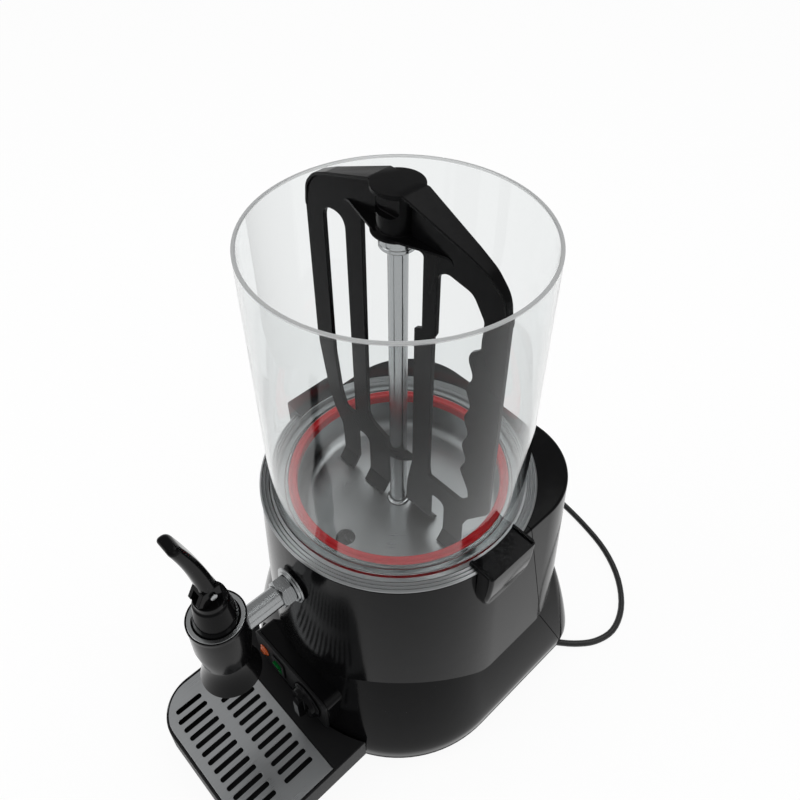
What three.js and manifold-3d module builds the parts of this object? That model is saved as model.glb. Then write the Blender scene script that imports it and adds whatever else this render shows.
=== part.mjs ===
// A ten litre hot chocolate dispenser. A clear bowl stands on a heated steel pan. A fixed column in the
// pan holds the shaft that turns the agitator from its top, so no seal lies under the drink.
// Millimetres, +Z up. The user stands at -Y, the table is at zero height and the origin lies under the
// middle of the machine without its mains lead.
import * as THREE from "three";
import { mergeVertices } from "three/addons/utils/BufferGeometryUtils.js";
import Module from "manifold-3d";

const wasm = await Module();
wasm.setup();

// Values that many pieces share
const clearance = 0.3; // between pieces that touch
const overrun = 5; // how far a cutting shape passes what it cuts
const weldTolerance = 0.0005; // vertices closer than this are one
const turn = 2 * Math.PI;
const quarter = turn / 4;

// The bowl, its gasket and the pan it stands on
const rimHeight = 275; // top of the pan's flat rim above the table
const bowl = { radius: 116, wall: 3, height: 256.7, shoulder: 5, neckDepth: 5.5, lip: 1.2 };
const gasket = { radius: 101, width: 8, depth: 5, crown: 4, bead: 1.5 };
const pan = { sheet: 1.2, rimRadius: 126.8, beads: 3, beadHeight: 1.3, beadWidth: 3.2, depth: 38.5 };
const well = { radius: 95, upstand: 2.4, corner: 12, trough: 6.3 };
const drain = { radius: 9, offset: 66 };

// The fixed column and the drive inside it
const column = { radius: 7.75, bore: 5.4, height: 247.2, flange: 11, nutAcross: 24, nutHeight: 6 };
const bush = { radius: 12.2, height: 9, chamfer: 1.4 };
const shaft = { radius: 4.7, proud: 40.8, pinRadius: 2, pinLength: 15, pinProud: 18.8 };
const gear = { module: 1.5, wheelTeeth: 48, pinionTeeth: 12, width: 8, hub: 9, backlash: 0.2 };
const toothShares = { root: 1.25, tip: 0.9 };
const bearing = { radius: 9, flange: 12, flangeHeight: 2 };
const bracket = { width: 158, depth: 112, sheet: 2, below: 57, foot: 16 };
const motor = { radius: 29, length: 78, boss: 11, bossHeight: 3, shaftRadius: 3, endCap: 8 };

// The agitator, seen along Y: heights are above the pan's rim, radii run from the column's axis
const blade = { thickness: 4, radius: 105.5, leftRadius: 103.2, corner: 26, elbow: 38 };
const arm = { top: 298, tip: 265, tipRadius: 94, root: 20, rootWidth: 22, web: 3.2, gusset: 252 };
const gussetHalf = 3.6;
const hub = { radius: 15.5, cap: 18.7, capHeight: 3.5, flange: 19, flangeHeight: 3.4, pocket: 17 };
const slotLeft = { outer: 82, inner: 56.2, top: 246, foot: 34, cut: 60 };
const barLeft = { inner: 38.5, foot: 47, web: 40 };
const barRight = { inner: 27.2, outer: 41.3, step: 188, stepWidth: 7.8, stepOuter: 38.5 };
const windowRight = { outer: 85.5, top: 250, shoulder: 213, foot: 29.5, mid: 58 };
const scallop = { edge: 76.2, depth: 2.3, pitch: 30.3, waves: 4, top: 197, bottom: 69 };
const legs = { outer: 75, gap: 55, gapInner: 37.5, inner: 12.3, elbow: 6, slotTop: 16 };
const legsRight = { inner: 12, gap: 42, gapOuter: 59.3, outer: 79, slotTop: 9, elbow: 10 };
const toe = { rise: 11, reach: 8, floorGap: 1.5 };
const guide = { bore: 8.8, wall: 3.4, height: 6, bottom: 22 };

// The casing: a round-fronted upper body that grows out of a wider foot with rounded shoulders
const casing = { wall: 2.6, halfWidth: 126, back: 148, rearCorner: 72.3, leanShare: 0.04, edge: 2.5 };
const hip = { halfWidth: 147.6, front: 147.3, back: 138, rearCorner: 35.3, frontCorner: 127, tuck: 4.5 };
const shoulder = { top: 190, foot: 25, tuckTop: 39, inset: 52 };
const shoulderShares = { swell: 1.17, fall: 1.33, reach: 0.85 }; // its curve's powers, and how much shows
const seam = { top: 38.7, turn: 93, leanShare: 0.204, footShare: 0.42 };
const ear = { halfWidth: 28, length: 21.9, rise: 4, drop: 57, straight: 34, play: 1.6, draw: 8.5 };
const earLip = { height: 2.4, ridge: 2.2, ridgeWidth: 3, corner: 4 };
const vent = { slots: 8, length: 84, height: 4, pitch: 9.5, lowest: 96 };

// The base, its feet and the drip tray
const foot = { height: 11, radius: 15, taper: 2 };
const footInset = { side: 55.6, back: 40, tongueSide: 22, tongueFront: 56 };
const base = { sheet: 3, front: 252, halfWidth: 80, corner: 34 };
const tray = { halfWidth: 88, front: 262, corner: 42, height: 30, wall: 2.4, floor: 2.4, rimStep: 3 };
const grid = { sheet: 1.5, play: 0.6, back: 166, margin: 9, bar: 11 };
const gridSlot = { width: 5, pitch: 10.5, count: 13, cornerShare: 0.65 };

// The tap: its heights are measured from the middle of its pipe
const pipe = { radius: 10, bore: 8, drop: 50 };
const wallFlange = { radius: 18, thickness: 4, stepRadius: 15.4, step: 1.8, nutAcross: 25, nutLength: 12 };
const tap = { y: -202, rim: 25, top: 35, barrel: 24.4, waist: 21.6, waistHeight: -21, recess: 3 };
const skirt = { radius: 27, bottom: -53, wall: 2.4, roof: -39 };
const valve = { bore: 14, seat: -28, seatBore: 8, plunger: 12.4, plungerHeight: 7, lift: 5 };
const nozzle = { radius: 13, mouth: 11, bottom: -69, collar: 15.5, collarHeight: 3 };
const tapRing = { inner: 19.8, height: 2.4 };
const bonnet = { foot: 19.2, crown: 15, top: 66.5, stepHeight: 7, stepRadius: 13.6 };
const stem = { radius: 3.4, overPin: 3.6 };
const spring = { radius: 7.6, wire: 0.8, turns: 5, steps: 8 };
const lever = { heel: 8, width: 15, back: 7.5, length: 76, lean: 9, grip: 22, gripDepth: 10, pull: 60 };
const leverShares = { tip: 0.8, corner: 0.35 }; // of its width at the end, and of its depth
const leverPin = { radius: 1.7, head: 3, headHeight: 1.6 };

// The control panel
const panel = { width: 112, height: 46, depth: 3, middle: 74, corner: 8, face: 148.5 };
const knob = { x: 28, radius: 17, skirt: 20, height: 14, skirtHeight: 3, grip: 7, shaft: 3, bore: 3.6 };
const thermostat = { width: 34, height: 30, corner: 3, depth: 18, neck: 7 };
const rocker = { x: -18, width: 13, height: 19, frame: 3.4, proud: 1.8, depth: 22, swing: 10 };
const lamp = { x: -42, radius: 5.4, bezel: 7, proud: 3.2, depth: 18 };

// The heater under the pan
const heater = { inner: 30, outer: 82, height: 5, slot: 15, terminal: 6 };
const limiter = { radius: 8, height: 12, x: 50 };

// The mains lead: it leaves under the base, and what isn't in use lies in a coil behind the machine
const lead = { diameter: 7, sides: 8, spacing: 2.4 };
const entry = { x: 112, y: 80, width: 16, height: 9, heading: 45 };
const gland = { length: 22, radius: 5.2, tipRadius: 4.2, height: 5.6 };
const coil = { x: -105, y: 225, radius: 50, turns: 4.25, layers: 2, steps: 24, sides: 6, play: 0.7 };
const tail = { share: 0.17, drift: 15, height: 16.6, lead: 7.5 };
const plug = { radius: 16, length: 34, neck: 5, neckLength: 20, pinRadius: 2.4, pinLength: 19, spacing: 19 };
const plugShares = { root: 1.3, shoulder: 0.8 }; // of its neck and of its radius
const leadRoute = [
  [157, 124],
  [171, 143],
  [177, 168],
  [168, 198],
  [143, 228],
  [108, 250],
  [65, 263],
  [15, 271],
  [-40, 275],
];

// Heights and places that follow from the values above
const baseTop = foot.height + base.sheet;
const casingFoot = baseTop + clearance;
const casingTop = rimHeight - pan.sheet - clearance;
const panFloor = rimHeight - pan.depth;
const panUnder = panFloor - pan.sheet;
const bracketTop = panUnder - bracket.below;
const wheelPitch = (gear.module * gear.wheelTeeth) / 2;
const pinionPitch = (gear.module * gear.pinionTeeth) / 2;
const gearCentres = wheelPitch + pinionPitch;
const gearBottom = bracketTop + bearing.flangeHeight + 2 * clearance;
const hubBottom = rimHeight + column.height + clearance;
const shaftTop = column.height + shaft.proud;
const pinHeight = column.height + shaft.pinProud;
const frontWall = (z) => casing.halfWidth + (casingTop - z) * casing.leanShare;
const trayBottom = baseTop + clearance;
const machineFront = -tray.front;
const pipeHeight = rimHeight - pipe.drop;
const tapLevel = (height) => pipeHeight + height;
const leverPivot = tapLevel(bonnet.top) + lever.heel + clearance;
const machineBack = casing.back;
const earInner = bowl.radius + ear.play;
const earReach = earInner + ear.length;

const finishes = {
  blackGloss: { color: 0x17181a, roughness: 0.22, metalness: 0 },
  blackSatin: { color: 0x1d1e20, roughness: 0.5, metalness: 0 },
  steel: { color: 0xb9bbbd, roughness: 0.3, metalness: 1 },
  brushed: { color: 0xa7a9ab, roughness: 0.42, metalness: 1 },
  zinc: { color: 0x8d9196, roughness: 0.5, metalness: 1 },
  brass: { color: 0xb08d4a, roughness: 0.4, metalness: 1 },
  clear: { color: 0xf1f4f5, roughness: 0.05, metalness: 0, opacity: 0.25, transparent: true },
  silicone: { color: 0xc32228, roughness: 0.45, metalness: 0 },
  rubber: { color: 0x141414, roughness: 0.8, metalness: 0 },
  nylon: { color: 0xe6e2d6, roughness: 0.5, metalness: 0 },
  mica: { color: 0x9c968a, roughness: 0.7, metalness: 0 },
  lens: { color: 0xe8762a, roughness: 0.25, metalness: 0 },
  green: { color: 0x2d9a4e, roughness: 0.3, metalness: 0 },
  sleeve: { color: 0x1a1a1b, roughness: 0.55, metalness: 0 },
};

const machine = new THREE.Group();
machine.position.y = -(machineFront + machineBack) / 2;

// Adds one piece to the machine as a named mesh
function addPiece(name, solid, finish) {
  const material = new THREE.MeshStandardMaterial({ ...finishes[finish], flatShading: true });
  const mesh = new THREE.Mesh(geometryOf(solid), material);
  mesh.name = name;
  machine.add(mesh);
  return mesh;
}

// Turns a closed geometry into a solid that can be joined and cut
function solidOf(geometry) {
  const bare = new THREE.BufferGeometry();
  bare.setAttribute("position", geometry.getAttribute("position").clone());
  if (geometry.index) bare.setIndex(geometry.index.clone());
  const merged = mergeVertices(bare, weldTolerance);
  const corners = merged.index.array;
  const kept = [];
  for (let i = 0; i < corners.length; i += 3) {
    const [a, b, c] = [corners[i], corners[i + 1], corners[i + 2]];
    if (a !== b && b !== c && c !== a) kept.push(a, b, c);
  }
  const vertProperties = merged.getAttribute("position").array;
  const build = (list) =>
    new wasm.Manifold(new wasm.Mesh({ numProp: 3, vertProperties, triVerts: new Uint32Array(list) }));
  const solid = build(kept);
  return solid.volume() > 0 ? solid : build(kept.reverse());
}

// Turns a solid back into a geometry for a mesh
function geometryOf(solid) {
  const { vertProperties, triVerts } = solid.getMesh();
  const geometry = new THREE.BufferGeometry();
  geometry.setAttribute("position", new THREE.BufferAttribute(vertProperties, 3));
  geometry.setIndex(new THREE.BufferAttribute(triVerts, 1));
  geometry.computeVertexNormals();
  return geometry;
}

// Points on an arc, both ends included
function arc(x, y, radius, from, to, steps) {
  const points = [];
  for (let i = 0; i <= steps; i++) {
    const angle = from + ((to - from) * i) / steps;
    points.push(new THREE.Vector2(x + radius * Math.cos(angle), y + radius * Math.sin(angle)));
  }
  return points;
}

// A closed outline through points, with round holes or other outlines cut in it
function outline(points, holes = []) {
  const shape = new THREE.Shape(points);
  for (const hole of holes) shape.holes.push(new THREE.Path(hole));
  return shape;
}

// A rectangle with round corners, centred on x and y
function roundedRectangle(width, height, radius, x = 0, y = 0, steps = 5) {
  const [w, h] = [width / 2 - radius, height / 2 - radius];
  return [
    ...arc(x + w, y - h, radius, -quarter, 0, steps),
    ...arc(x + w, y + h, radius, 0, quarter, steps),
    ...arc(x - w, y + h, radius, quarter, 2 * quarter, steps),
    ...arc(x - w, y - h, radius, 2 * quarter, 3 * quarter, steps),
  ];
}

// A prism on an outline, from the height bottom upwards
function prism(shape, depth, bottom = 0) {
  const geometry = new THREE.ExtrudeGeometry(shape, { depth, bevelEnabled: false, curveSegments: 8 });
  geometry.translate(0, 0, bottom);
  return geometry;
}

// A prism whose outline is drawn in x and z, between two places on y
function prismAlongY(shape, from, to) {
  const geometry = prism(shape, to - from);
  geometry.rotateX(quarter);
  geometry.translate(0, to, 0);
  return geometry;
}

// A prism whose outline is drawn in y and z, between two places on x
function prismAlongX(shape, from, to) {
  const geometry = prism(shape, to - from);
  geometry.rotateX(quarter);
  geometry.rotateZ(quarter);
  geometry.translate(from, 0, 0);
  return geometry;
}

// A round bar from one height to another
function rod(radius, from, to, sides = 20, topRadius = radius) {
  const geometry = new THREE.CylinderGeometry(topRadius, radius, to - from, sides);
  geometry.rotateX(quarter);
  geometry.translate(0, 0, (from + to) / 2);
  return geometry;
}

// A round bar along y, on an axis at a height
function rodAlongY(radius, from, to, height, sides = 20, farRadius = radius) {
  const geometry = new THREE.CylinderGeometry(farRadius, radius, to - from, sides);
  geometry.translate(0, (from + to) / 2, height);
  return geometry;
}

// A round bar along x through a point on y and z
function rodAlongX(radius, halfLength, y, z, sides = 16) {
  const geometry = new THREE.CylinderGeometry(radius, radius, 2 * halfLength, sides);
  geometry.rotateZ(quarter);
  geometry.translate(0, y, z);
  return geometry;
}

// A block between two corners
function block(x0, x1, y0, y1, z0, z1) {
  const geometry = new THREE.BoxGeometry(x1 - x0, y1 - y0, z1 - z0);
  geometry.translate((x0 + x1) / 2, (y0 + y1) / 2, (z0 + z1) / 2);
  return geometry;
}

// A body of revolution about z: the profile runs anticlockwise in radius and height
function revolve(profile, segments = 64) {
  const points = profile.map(([radius, height]) => new THREE.Vector2(radius, height));
  if (points[0].x > 0 || points[points.length - 1].x > 0) points.push(points[0].clone());
  const geometry = new THREE.LatheGeometry(points, segments);
  geometry.rotateX(quarter);
  return geometry;
}

// A skin over rings of points with equal counts, from the lowest ring to the highest
function loft(rings) {
  const positions = [];
  const triangles = [];
  const count = rings[0].length;
  for (const ring of rings) for (const p of ring) positions.push(p.x, p.y, p.z);
  for (let level = 0; level + 1 < rings.length; level++) {
    for (let i = 0; i < count; i++) {
      const next = (i + 1) % count;
      const low = level * count;
      const high = low + count;
      triangles.push(low + i, low + next, high + next, low + i, high + next, high + i);
    }
  }
  const last = (rings.length - 1) * count;
  const flat = (ring) => ring.map((p) => new THREE.Vector2(p.x, p.y));
  for (const [a, b, c] of THREE.ShapeUtils.triangulateShape(flat(rings[0]), [])) {
    triangles.push(c, b, a);
  }
  for (const [a, b, c] of THREE.ShapeUtils.triangulateShape(flat(rings[rings.length - 1]), [])) {
    triangles.push(last + a, last + b, last + c);
  }
  const geometry = new THREE.BufferGeometry();
  geometry.setAttribute("position", new THREE.Float32BufferAttribute(positions, 3));
  geometry.setIndex(triangles);
  return geometry;
}

// Lifts flat points to a height
const lift = (points, z) => points.map((p) => new THREE.Vector3(p.x, p.y, z));

// Turns a geometry about z
function turned(geometry, angle) {
  geometry.rotateZ(angle);
  return geometry;
}

// Moves a geometry
function moved(geometry, x, y, z) {
  geometry.translate(x, y, z);
  return geometry;
}

// A tube round a line of points, with flat ends
function tube(points, radius, sides) {
  const curve = new THREE.CatmullRomCurve3(points);
  const section = outline(arc(0, 0, radius, 0, turn - turn / sides, sides - 1));
  return new THREE.ExtrudeGeometry(section, {
    steps: points.length - 1,
    extrudePath: curve,
    bevelEnabled: false,
    curveSegments: 1,
  });
}

// A hexagonal outline by its width across flats
const hexagon = (across) => arc(0, 0, across / Math.sqrt(3), 0, turn - turn / 6, 5);

// Bowl, gasket and pan

function makeBowl() {
  const neckInner = gasket.radius + clearance;
  const neck = neckInner + bowl.wall;
  const inside = bowl.radius - bowl.wall;
  const seat = rimHeight + clearance;
  const neckFoot = rimHeight - bowl.neckDepth;
  const rim = rimHeight + bowl.height;
  const rise = (arcPoints) => arcPoints.map((p) => [p.x, p.y]);
  const profile = [
    [neckInner, neckFoot],
    [neck, neckFoot],
    [neck, seat],
    ...rise(arc(bowl.radius - bowl.shoulder, seat + bowl.shoulder, bowl.shoulder, -quarter, 0, 2)),
    [bowl.radius, rim - bowl.lip],
    [bowl.radius - bowl.lip / 2, rim],
    [inside + bowl.lip / 2, rim],
    [inside, rim - bowl.lip],
    ...rise(arc(inside - bowl.shoulder, seat + bowl.wall + bowl.shoulder, bowl.shoulder, 0, -quarter, 2)),
    [neckInner, seat + bowl.wall - bowl.lip],
  ];
  addPiece("bowl", solidOf(revolve(profile, 48)), "clear");
}

// An upturned channel that caps the pan's upstand and seals the bowl's neck
function makeGasket() {
  const inner = gasket.radius - gasket.width;
  const top = rimHeight + gasket.crown;
  const foot = rimHeight - gasket.depth;
  const wallInner = well.radius - clearance;
  const wallOuter = well.radius + well.upstand + clearance;
  const profile = [
    [wallOuter, foot],
    [gasket.radius, foot],
    [gasket.radius, top - gasket.bead],
    [gasket.radius - gasket.bead, top],
    [gasket.radius - 2 * gasket.bead, top - gasket.bead / 2],
    [inner + gasket.bead, top],
    [inner, top - gasket.bead],
    [inner, foot],
    [wallInner, foot],
    [wallInner, rimHeight + clearance],
    [wallOuter, rimHeight + clearance],
  ];
  addPiece("bowl_gasket", solidOf(revolve(profile, 36)), "silicone");
}

// The pressed steel pan: beaded rim, gasket trough, upstand, well and floor
function makePan() {
  const floorTop = panFloor;
  const beadsOuter = pan.rimRadius;
  const beadsInner = beadsOuter - pan.beads * pan.beadWidth;
  const troughOuter = gasket.radius + bowl.wall + 3 * clearance;
  const troughTop = rimHeight - well.trough;
  const under = rimHeight - pan.sheet;
  const wave = [];
  for (let i = 0; i <= 2 * pan.beads; i++) {
    const radius = beadsInner + (i * pan.beadWidth) / 2;
    wave.push([radius, rimHeight + pan.beadHeight * (i % 2)]);
  }
  const outerCorner = arc(
    well.radius + pan.sheet - well.corner,
    panUnder + well.corner,
    well.corner,
    -quarter,
    0,
    4,
  );
  const innerCorner = arc(
    well.radius - well.corner,
    floorTop + well.corner,
    well.corner,
    0,
    -quarter,
    4,
  );
  const profile = [
    [column.radius + clearance, panUnder],
    ...outerCorner.map((p) => [p.x, p.y]),
    [well.radius + pan.sheet, troughTop - pan.sheet],
    [troughOuter + pan.sheet, troughTop - pan.sheet],
    [troughOuter + pan.sheet, under],
    [beadsOuter, under],
    ...wave.reverse(),
    [troughOuter, rimHeight],
    [troughOuter, troughTop],
    [well.radius + well.upstand, troughTop],
    [well.radius + well.upstand, rimHeight],
    [well.radius, rimHeight],
    ...innerCorner.map((p) => [p.x, p.y]),
    [column.radius + clearance, floorTop],
  ];
  const hole = moved(rod(drain.radius, panUnder - overrun, floorTop + overrun, 24), 0, -drain.offset, 0);
  addPiece("steel_pan", solidOf(revolve(profile, 36)).subtract(solidOf(hole)), "brushed");
}

// Drain pipe: a stub under the floor's hole and a straight run forward to the tap
function makePipe() {
  const back = -drain.offset + pipe.radius + pan.sheet;
  const tapFace = tap.y + tap.barrel;
  const stubTop = panUnder - clearance;
  const outer = solidOf(rodAlongY(pipe.radius, tapFace - pipe.bore / 2, back, pipeHeight)).add(
    solidOf(moved(rod(drain.radius + pan.sheet, pipeHeight, stubTop), 0, -drain.offset, 0)),
  );
  const run = rodAlongY(pipe.bore, tapFace - overrun - pipe.bore, back - pan.sheet, pipeHeight);
  const stub = moved(rod(drain.radius - pan.sheet, pipeHeight, stubTop + overrun), 0, -drain.offset, 0);
  addPiece("outlet_pipe", outer.subtract(solidOf(run)).subtract(solidOf(stub)), "steel");
}

// Column, top bush and clamping nut

function makeColumn() {
  const top = rimHeight + column.height;
  const bottom = panUnder - heater.height - column.nutHeight;
  const flangeTop = panFloor + clearance + pan.sheet;
  const profile = [
    [column.bore, bottom],
    [column.radius, bottom],
    [column.radius, panFloor + clearance],
    [column.flange, panFloor + clearance],
    [column.radius + pan.sheet, flangeTop],
    [column.radius, flangeTop + pan.sheet],
    [column.radius, top],
    [column.bore, top],
  ];
  addPiece("agitator_column", solidOf(revolve(profile, 20)), "steel");

  // The bush is pressed under the agitator's hub and turns on the column
  const bushTop = hubBottom - clearance;
  const bushFoot = bushTop - bush.height;
  const hole = column.radius + clearance;
  const ring = [
    [hole, bushFoot],
    [bush.radius - bush.chamfer, bushFoot],
    [bush.radius, bushFoot + bush.chamfer],
    [bush.radius, bushTop - bush.chamfer],
    [bush.radius - bush.chamfer, bushTop],
    [hole, bushTop],
  ];
  addPiece("column_bush", solidOf(revolve(ring, 20)), "steel");

  const nutTop = panUnder - clearance;
  const nut = outline(hexagon(column.nutAcross), [arc(0, 0, hole, 0, -turn + turn / 24, 23)]);
  addPiece("column_nut", solidOf(prism(nut, column.nutHeight, nutTop - column.nutHeight)), "zinc");
}

// Drive shaft and its cross pin, which turns the agitator's hub
function makeShaft() {
  const bottom = bracketTop - bracket.sheet - bearing.flangeHeight;
  const top = rimHeight + shaftTop;
  const tip = shaft.radius / 3;
  const round = [
    [0, bottom],
    [shaft.radius, bottom],
    [shaft.radius, top - tip],
    [shaft.radius - tip, top],
    [0, top],
  ];
  const pinZ = rimHeight + pinHeight;
  const pinHole = rodAlongX(shaft.pinRadius + clearance, shaft.radius + overrun, 0, pinZ);
  addPiece("drive_shaft", solidOf(revolve(round, 18)).subtract(solidOf(pinHole)), "steel");
  addPiece("drive_pin", solidOf(rodAlongX(shaft.pinRadius, shaft.pinLength / 2, 0, pinZ, 12)), "steel");
}

// A spur gear outline: straight-flanked teeth between the root and the tip circles
function gearOutline(teeth) {
  const pitch = (gear.module * teeth) / 2;
  const root = pitch - toothShares.root * gear.module;
  const tip = pitch + toothShares.tip * gear.module;
  const backlash = gear.backlash / pitch;
  const points = [];
  for (let i = 0; i < teeth; i++) {
    const middle = (turn * i) / teeth;
    const half = turn / teeth / 4;
    for (const [radius, side] of [[root, -1.5], [tip, -0.5], [tip, 0.5], [root, 1.5]]) {
      const angle = middle + half * side - Math.sign(side) * backlash;
      points.push(new THREE.Vector2(radius * Math.cos(angle), radius * Math.sin(angle)));
    }
  }
  return points;
}

// Wheel on the drive shaft, pinion on the motor, their bracket, the bearing and the motor itself
function makeDrive() {
  const bore = arc(0, 0, shaft.radius + clearance, 0, -turn + turn / 24, 23);
  const wheel = solidOf(prism(outline(gearOutline(gear.wheelTeeth), [bore]), gear.width, gearBottom)).add(
    solidOf(
      revolve(
        [
          [shaft.radius + clearance, gearBottom],
          [gear.hub, gearBottom],
          [gear.hub, gearBottom + 2 * gear.width],
          [shaft.radius + clearance, gearBottom + 2 * gear.width],
        ],
        24,
      ),
    ),
  );
  addPiece("drive_wheel", wheel, "nylon");

  const shaftHole = arc(0, 0, motor.shaftRadius + clearance, 0, -turn + turn / 16, 15);
  const pinion = prism(outline(gearOutline(gear.pinionTeeth), [shaftHole]), gear.width, gearBottom);
  const meshAngle = turn / 2 + turn / gear.pinionTeeth / 2;
  addPiece("motor_pinion", solidOf(moved(turned(pinion, meshAngle), gearCentres, 0, 0)), "brass");

  makeBracket();
  makeBearing();
  makeMotor();
}

// Bent sheet bracket: an upturned channel with feet that stands on the base
function makeBracket() {
  const half = bracket.width / 2;
  const t = bracket.sheet;
  const profile = [
    [-half - bracket.foot, casingFoot],
    [-half + t, casingFoot],
    [-half + t, bracketTop - t],
    [half - t, bracketTop - t],
    [half - t, casingFoot],
    [half + bracket.foot, casingFoot],
    [half + bracket.foot, casingFoot + t],
    [half, casingFoot + t],
    [half, bracketTop],
    [-half, bracketTop],
    [-half, casingFoot + t],
    [-half - bracket.foot, casingFoot + t],
  ].map(([x, z]) => new THREE.Vector2(x, z));
  const high = bracketTop + overrun;
  const holes = solidOf(rod(bearing.radius + clearance, bracketTop - overrun, high)).add(
    solidOf(moved(rod(motor.boss + clearance, bracketTop - overrun, high), gearCentres, 0, 0)),
  );
  const body = solidOf(prismAlongY(outline(profile), -bracket.depth / 2, bracket.depth / 2));
  addPiece("drive_bracket", body.subtract(holes), "zinc");
}

function makeBearing() {
  const bore = shaft.radius + clearance;
  const flangeFoot = bracketTop + clearance;
  const profile = [
    [bore, bracketTop - bracket.sheet - bearing.flangeHeight],
    [bearing.radius, bracketTop - bracket.sheet - bearing.flangeHeight],
    [bearing.radius, flangeFoot],
    [bearing.flange, flangeFoot],
    [bearing.flange, flangeFoot + bearing.flangeHeight],
    [bore, flangeFoot + bearing.flangeHeight],
  ];
  addPiece("shaft_bearing", solidOf(revolve(profile, 20)), "brass");
}

function makeMotor() {
  const face = bracketTop - bracket.sheet - clearance;
  const bottom = face - motor.length;
  const bossTop = bracketTop;
  const hole = motor.shaftRadius + clearance;
  const profile = [
    [0, bottom],
    [motor.radius - motor.endCap, bottom],
    [motor.radius, bottom + motor.endCap],
    [motor.radius, face - motor.endCap / 2],
    [motor.radius - motor.endCap / 2, face],
    [motor.boss, face],
    [motor.boss, bossTop],
    [hole, bossTop],
    [hole, face - motor.bossHeight],
    [0, face - motor.bossHeight],
  ];
  addPiece("motor", solidOf(moved(revolve(profile, 20), gearCentres, 0, 0)), "zinc");
  const shaftFoot = face - motor.bossHeight + clearance;
  const motorShaft = rod(motor.shaftRadius, shaftFoot, gearBottom + gear.width + clearance, 16);
  addPiece("motor_shaft", solidOf(moved(motorShaft, gearCentres, 0, 0)), "steel");
}

// Agitator

// The blade plate's outer edge, from the hub round the right blade, the two pairs of legs and the left
// blade back to the hub, in radius and height above the pan's rim
function bladeOutline() {
  const floor = toe.floorGap + toe.rise - pan.depth;
  const points = [];
  const add = (...list) => points.push(...list.map(([x, z]) => new THREE.Vector2(x, z)));
  const cornerRight = blade.radius - blade.corner;
  const cornerLeft = blade.leftRadius - blade.corner;
  const cornerTop = arm.tip - blade.corner / 2;
  add([hub.radius, arm.top - arm.web]);
  points.push(...arc(cornerRight, cornerTop - blade.corner / 2, blade.corner, quarter, 0, 5));
  add([blade.radius, blade.elbow], [windowRight.outer, legsRight.elbow]);
  points.push(...arc(legsRight.outer + toe.rise / 2, -toe.rise / 2, toe.rise / 2, quarter, 2 * quarter, 3));
  add([legsRight.outer, floor], [legsRight.gapOuter, floor]);
  const slotRight = (legsRight.gapOuter - legsRight.gap) / 2;
  points.push(...arc(legsRight.gap + slotRight, legsRight.slotTop - slotRight, slotRight, 0, 2 * quarter, 5));
  add([legsRight.gap, floor], [legsRight.inner, floor], [legsRight.inner + toe.floorGap, 0]);
  add([barRight.inner - barRight.stepWidth, guide.bottom + 2 * guide.height]);
  add([barRight.inner - barRight.stepWidth, barRight.step - barRight.stepWidth / 2]);
  add([barRight.inner, barRight.step], [barRight.inner, arm.gusset]);
  add([-barLeft.inner, arm.gusset], [-barLeft.inner, barLeft.foot]);
  add([-barLeft.inner + toe.reach, barLeft.web]);
  add([-legs.inner, barLeft.web], [-legs.inner, floor], [-legs.gapInner, floor]);
  const slot = (legs.gap - legs.gapInner) / 2;
  points.push(...arc(-legs.gap + slot, legs.slotTop - slot, slot, 0, 2 * quarter, 5));
  add([-legs.gap, floor], [-legs.outer, floor], [-legs.outer - toe.floorGap, legs.elbow]);
  add([-blade.leftRadius + legs.slotTop, legs.slotTop + legs.elbow]);
  add([-blade.leftRadius + toe.reach, barLeft.foot], [-blade.leftRadius, 2 * barLeft.foot]);
  points.push(...arc(-cornerLeft, cornerTop - blade.corner / 2, blade.corner, 2 * quarter, quarter, 5));
  add([-hub.radius, arm.top - arm.web]);
  return points;
}

// The long slot in the left blade
function leftSlot() {
  const { outer, inner, top, foot: low, cut } = slotLeft;
  const radius = (outer - inner) / 2;
  return [
    ...arc(-(outer + inner) / 2, top - radius, radius, 0, 2 * quarter, 6),
    new THREE.Vector2(-outer, 2 * barLeft.foot),
    new THREE.Vector2(-outer + toe.reach / 2, barLeft.foot + toe.rise / 2),
    new THREE.Vector2(-(outer + cut) / 2, low),
    new THREE.Vector2(-cut, low - toe.floorGap),
    new THREE.Vector2(-inner, low + toe.floorGap),
  ];
}

// The window in the right blade, whose outer edge is scalloped to fold the drink back in
function rightWindow() {
  const { outer, top, shoulder: step, foot: low, mid } = windowRight;
  const inner = barRight.outer;
  const points = [];
  const add = (x, z) => points.push(new THREE.Vector2(x, z));
  add(barRight.stepOuter, low + toe.rise);
  add(barRight.stepOuter + toe.floorGap, low);
  add(scallop.edge, low);
  add(outer - toe.floorGap / 2, low + toe.rise);
  add(outer - toe.floorGap, low + 2 * toe.rise - toe.floorGap);
  const steps = 6 * scallop.waves;
  for (let i = 0; i <= steps; i++) {
    const z = scallop.bottom + ((scallop.top - scallop.bottom) * i) / steps;
    const phase = (turn * (z - scallop.bottom)) / scallop.pitch;
    add(scallop.edge - scallop.depth * Math.cos(phase), z);
  }
  add(outer - toe.floorGap, step);
  add(outer, top - 2 * toe.rise);
  const radius = (mid - inner) / 2;
  add((outer + mid) / 2 + toe.reach / 2, top - toe.rise / 2);
  points.push(...arc(inner + radius, top - radius, radius, quarter, 2 * quarter, 5));
  add(inner, barRight.step + toe.floorGap);
  add(barRight.stepOuter, barRight.step - barRight.stepWidth / 2);
  return points;
}

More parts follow.
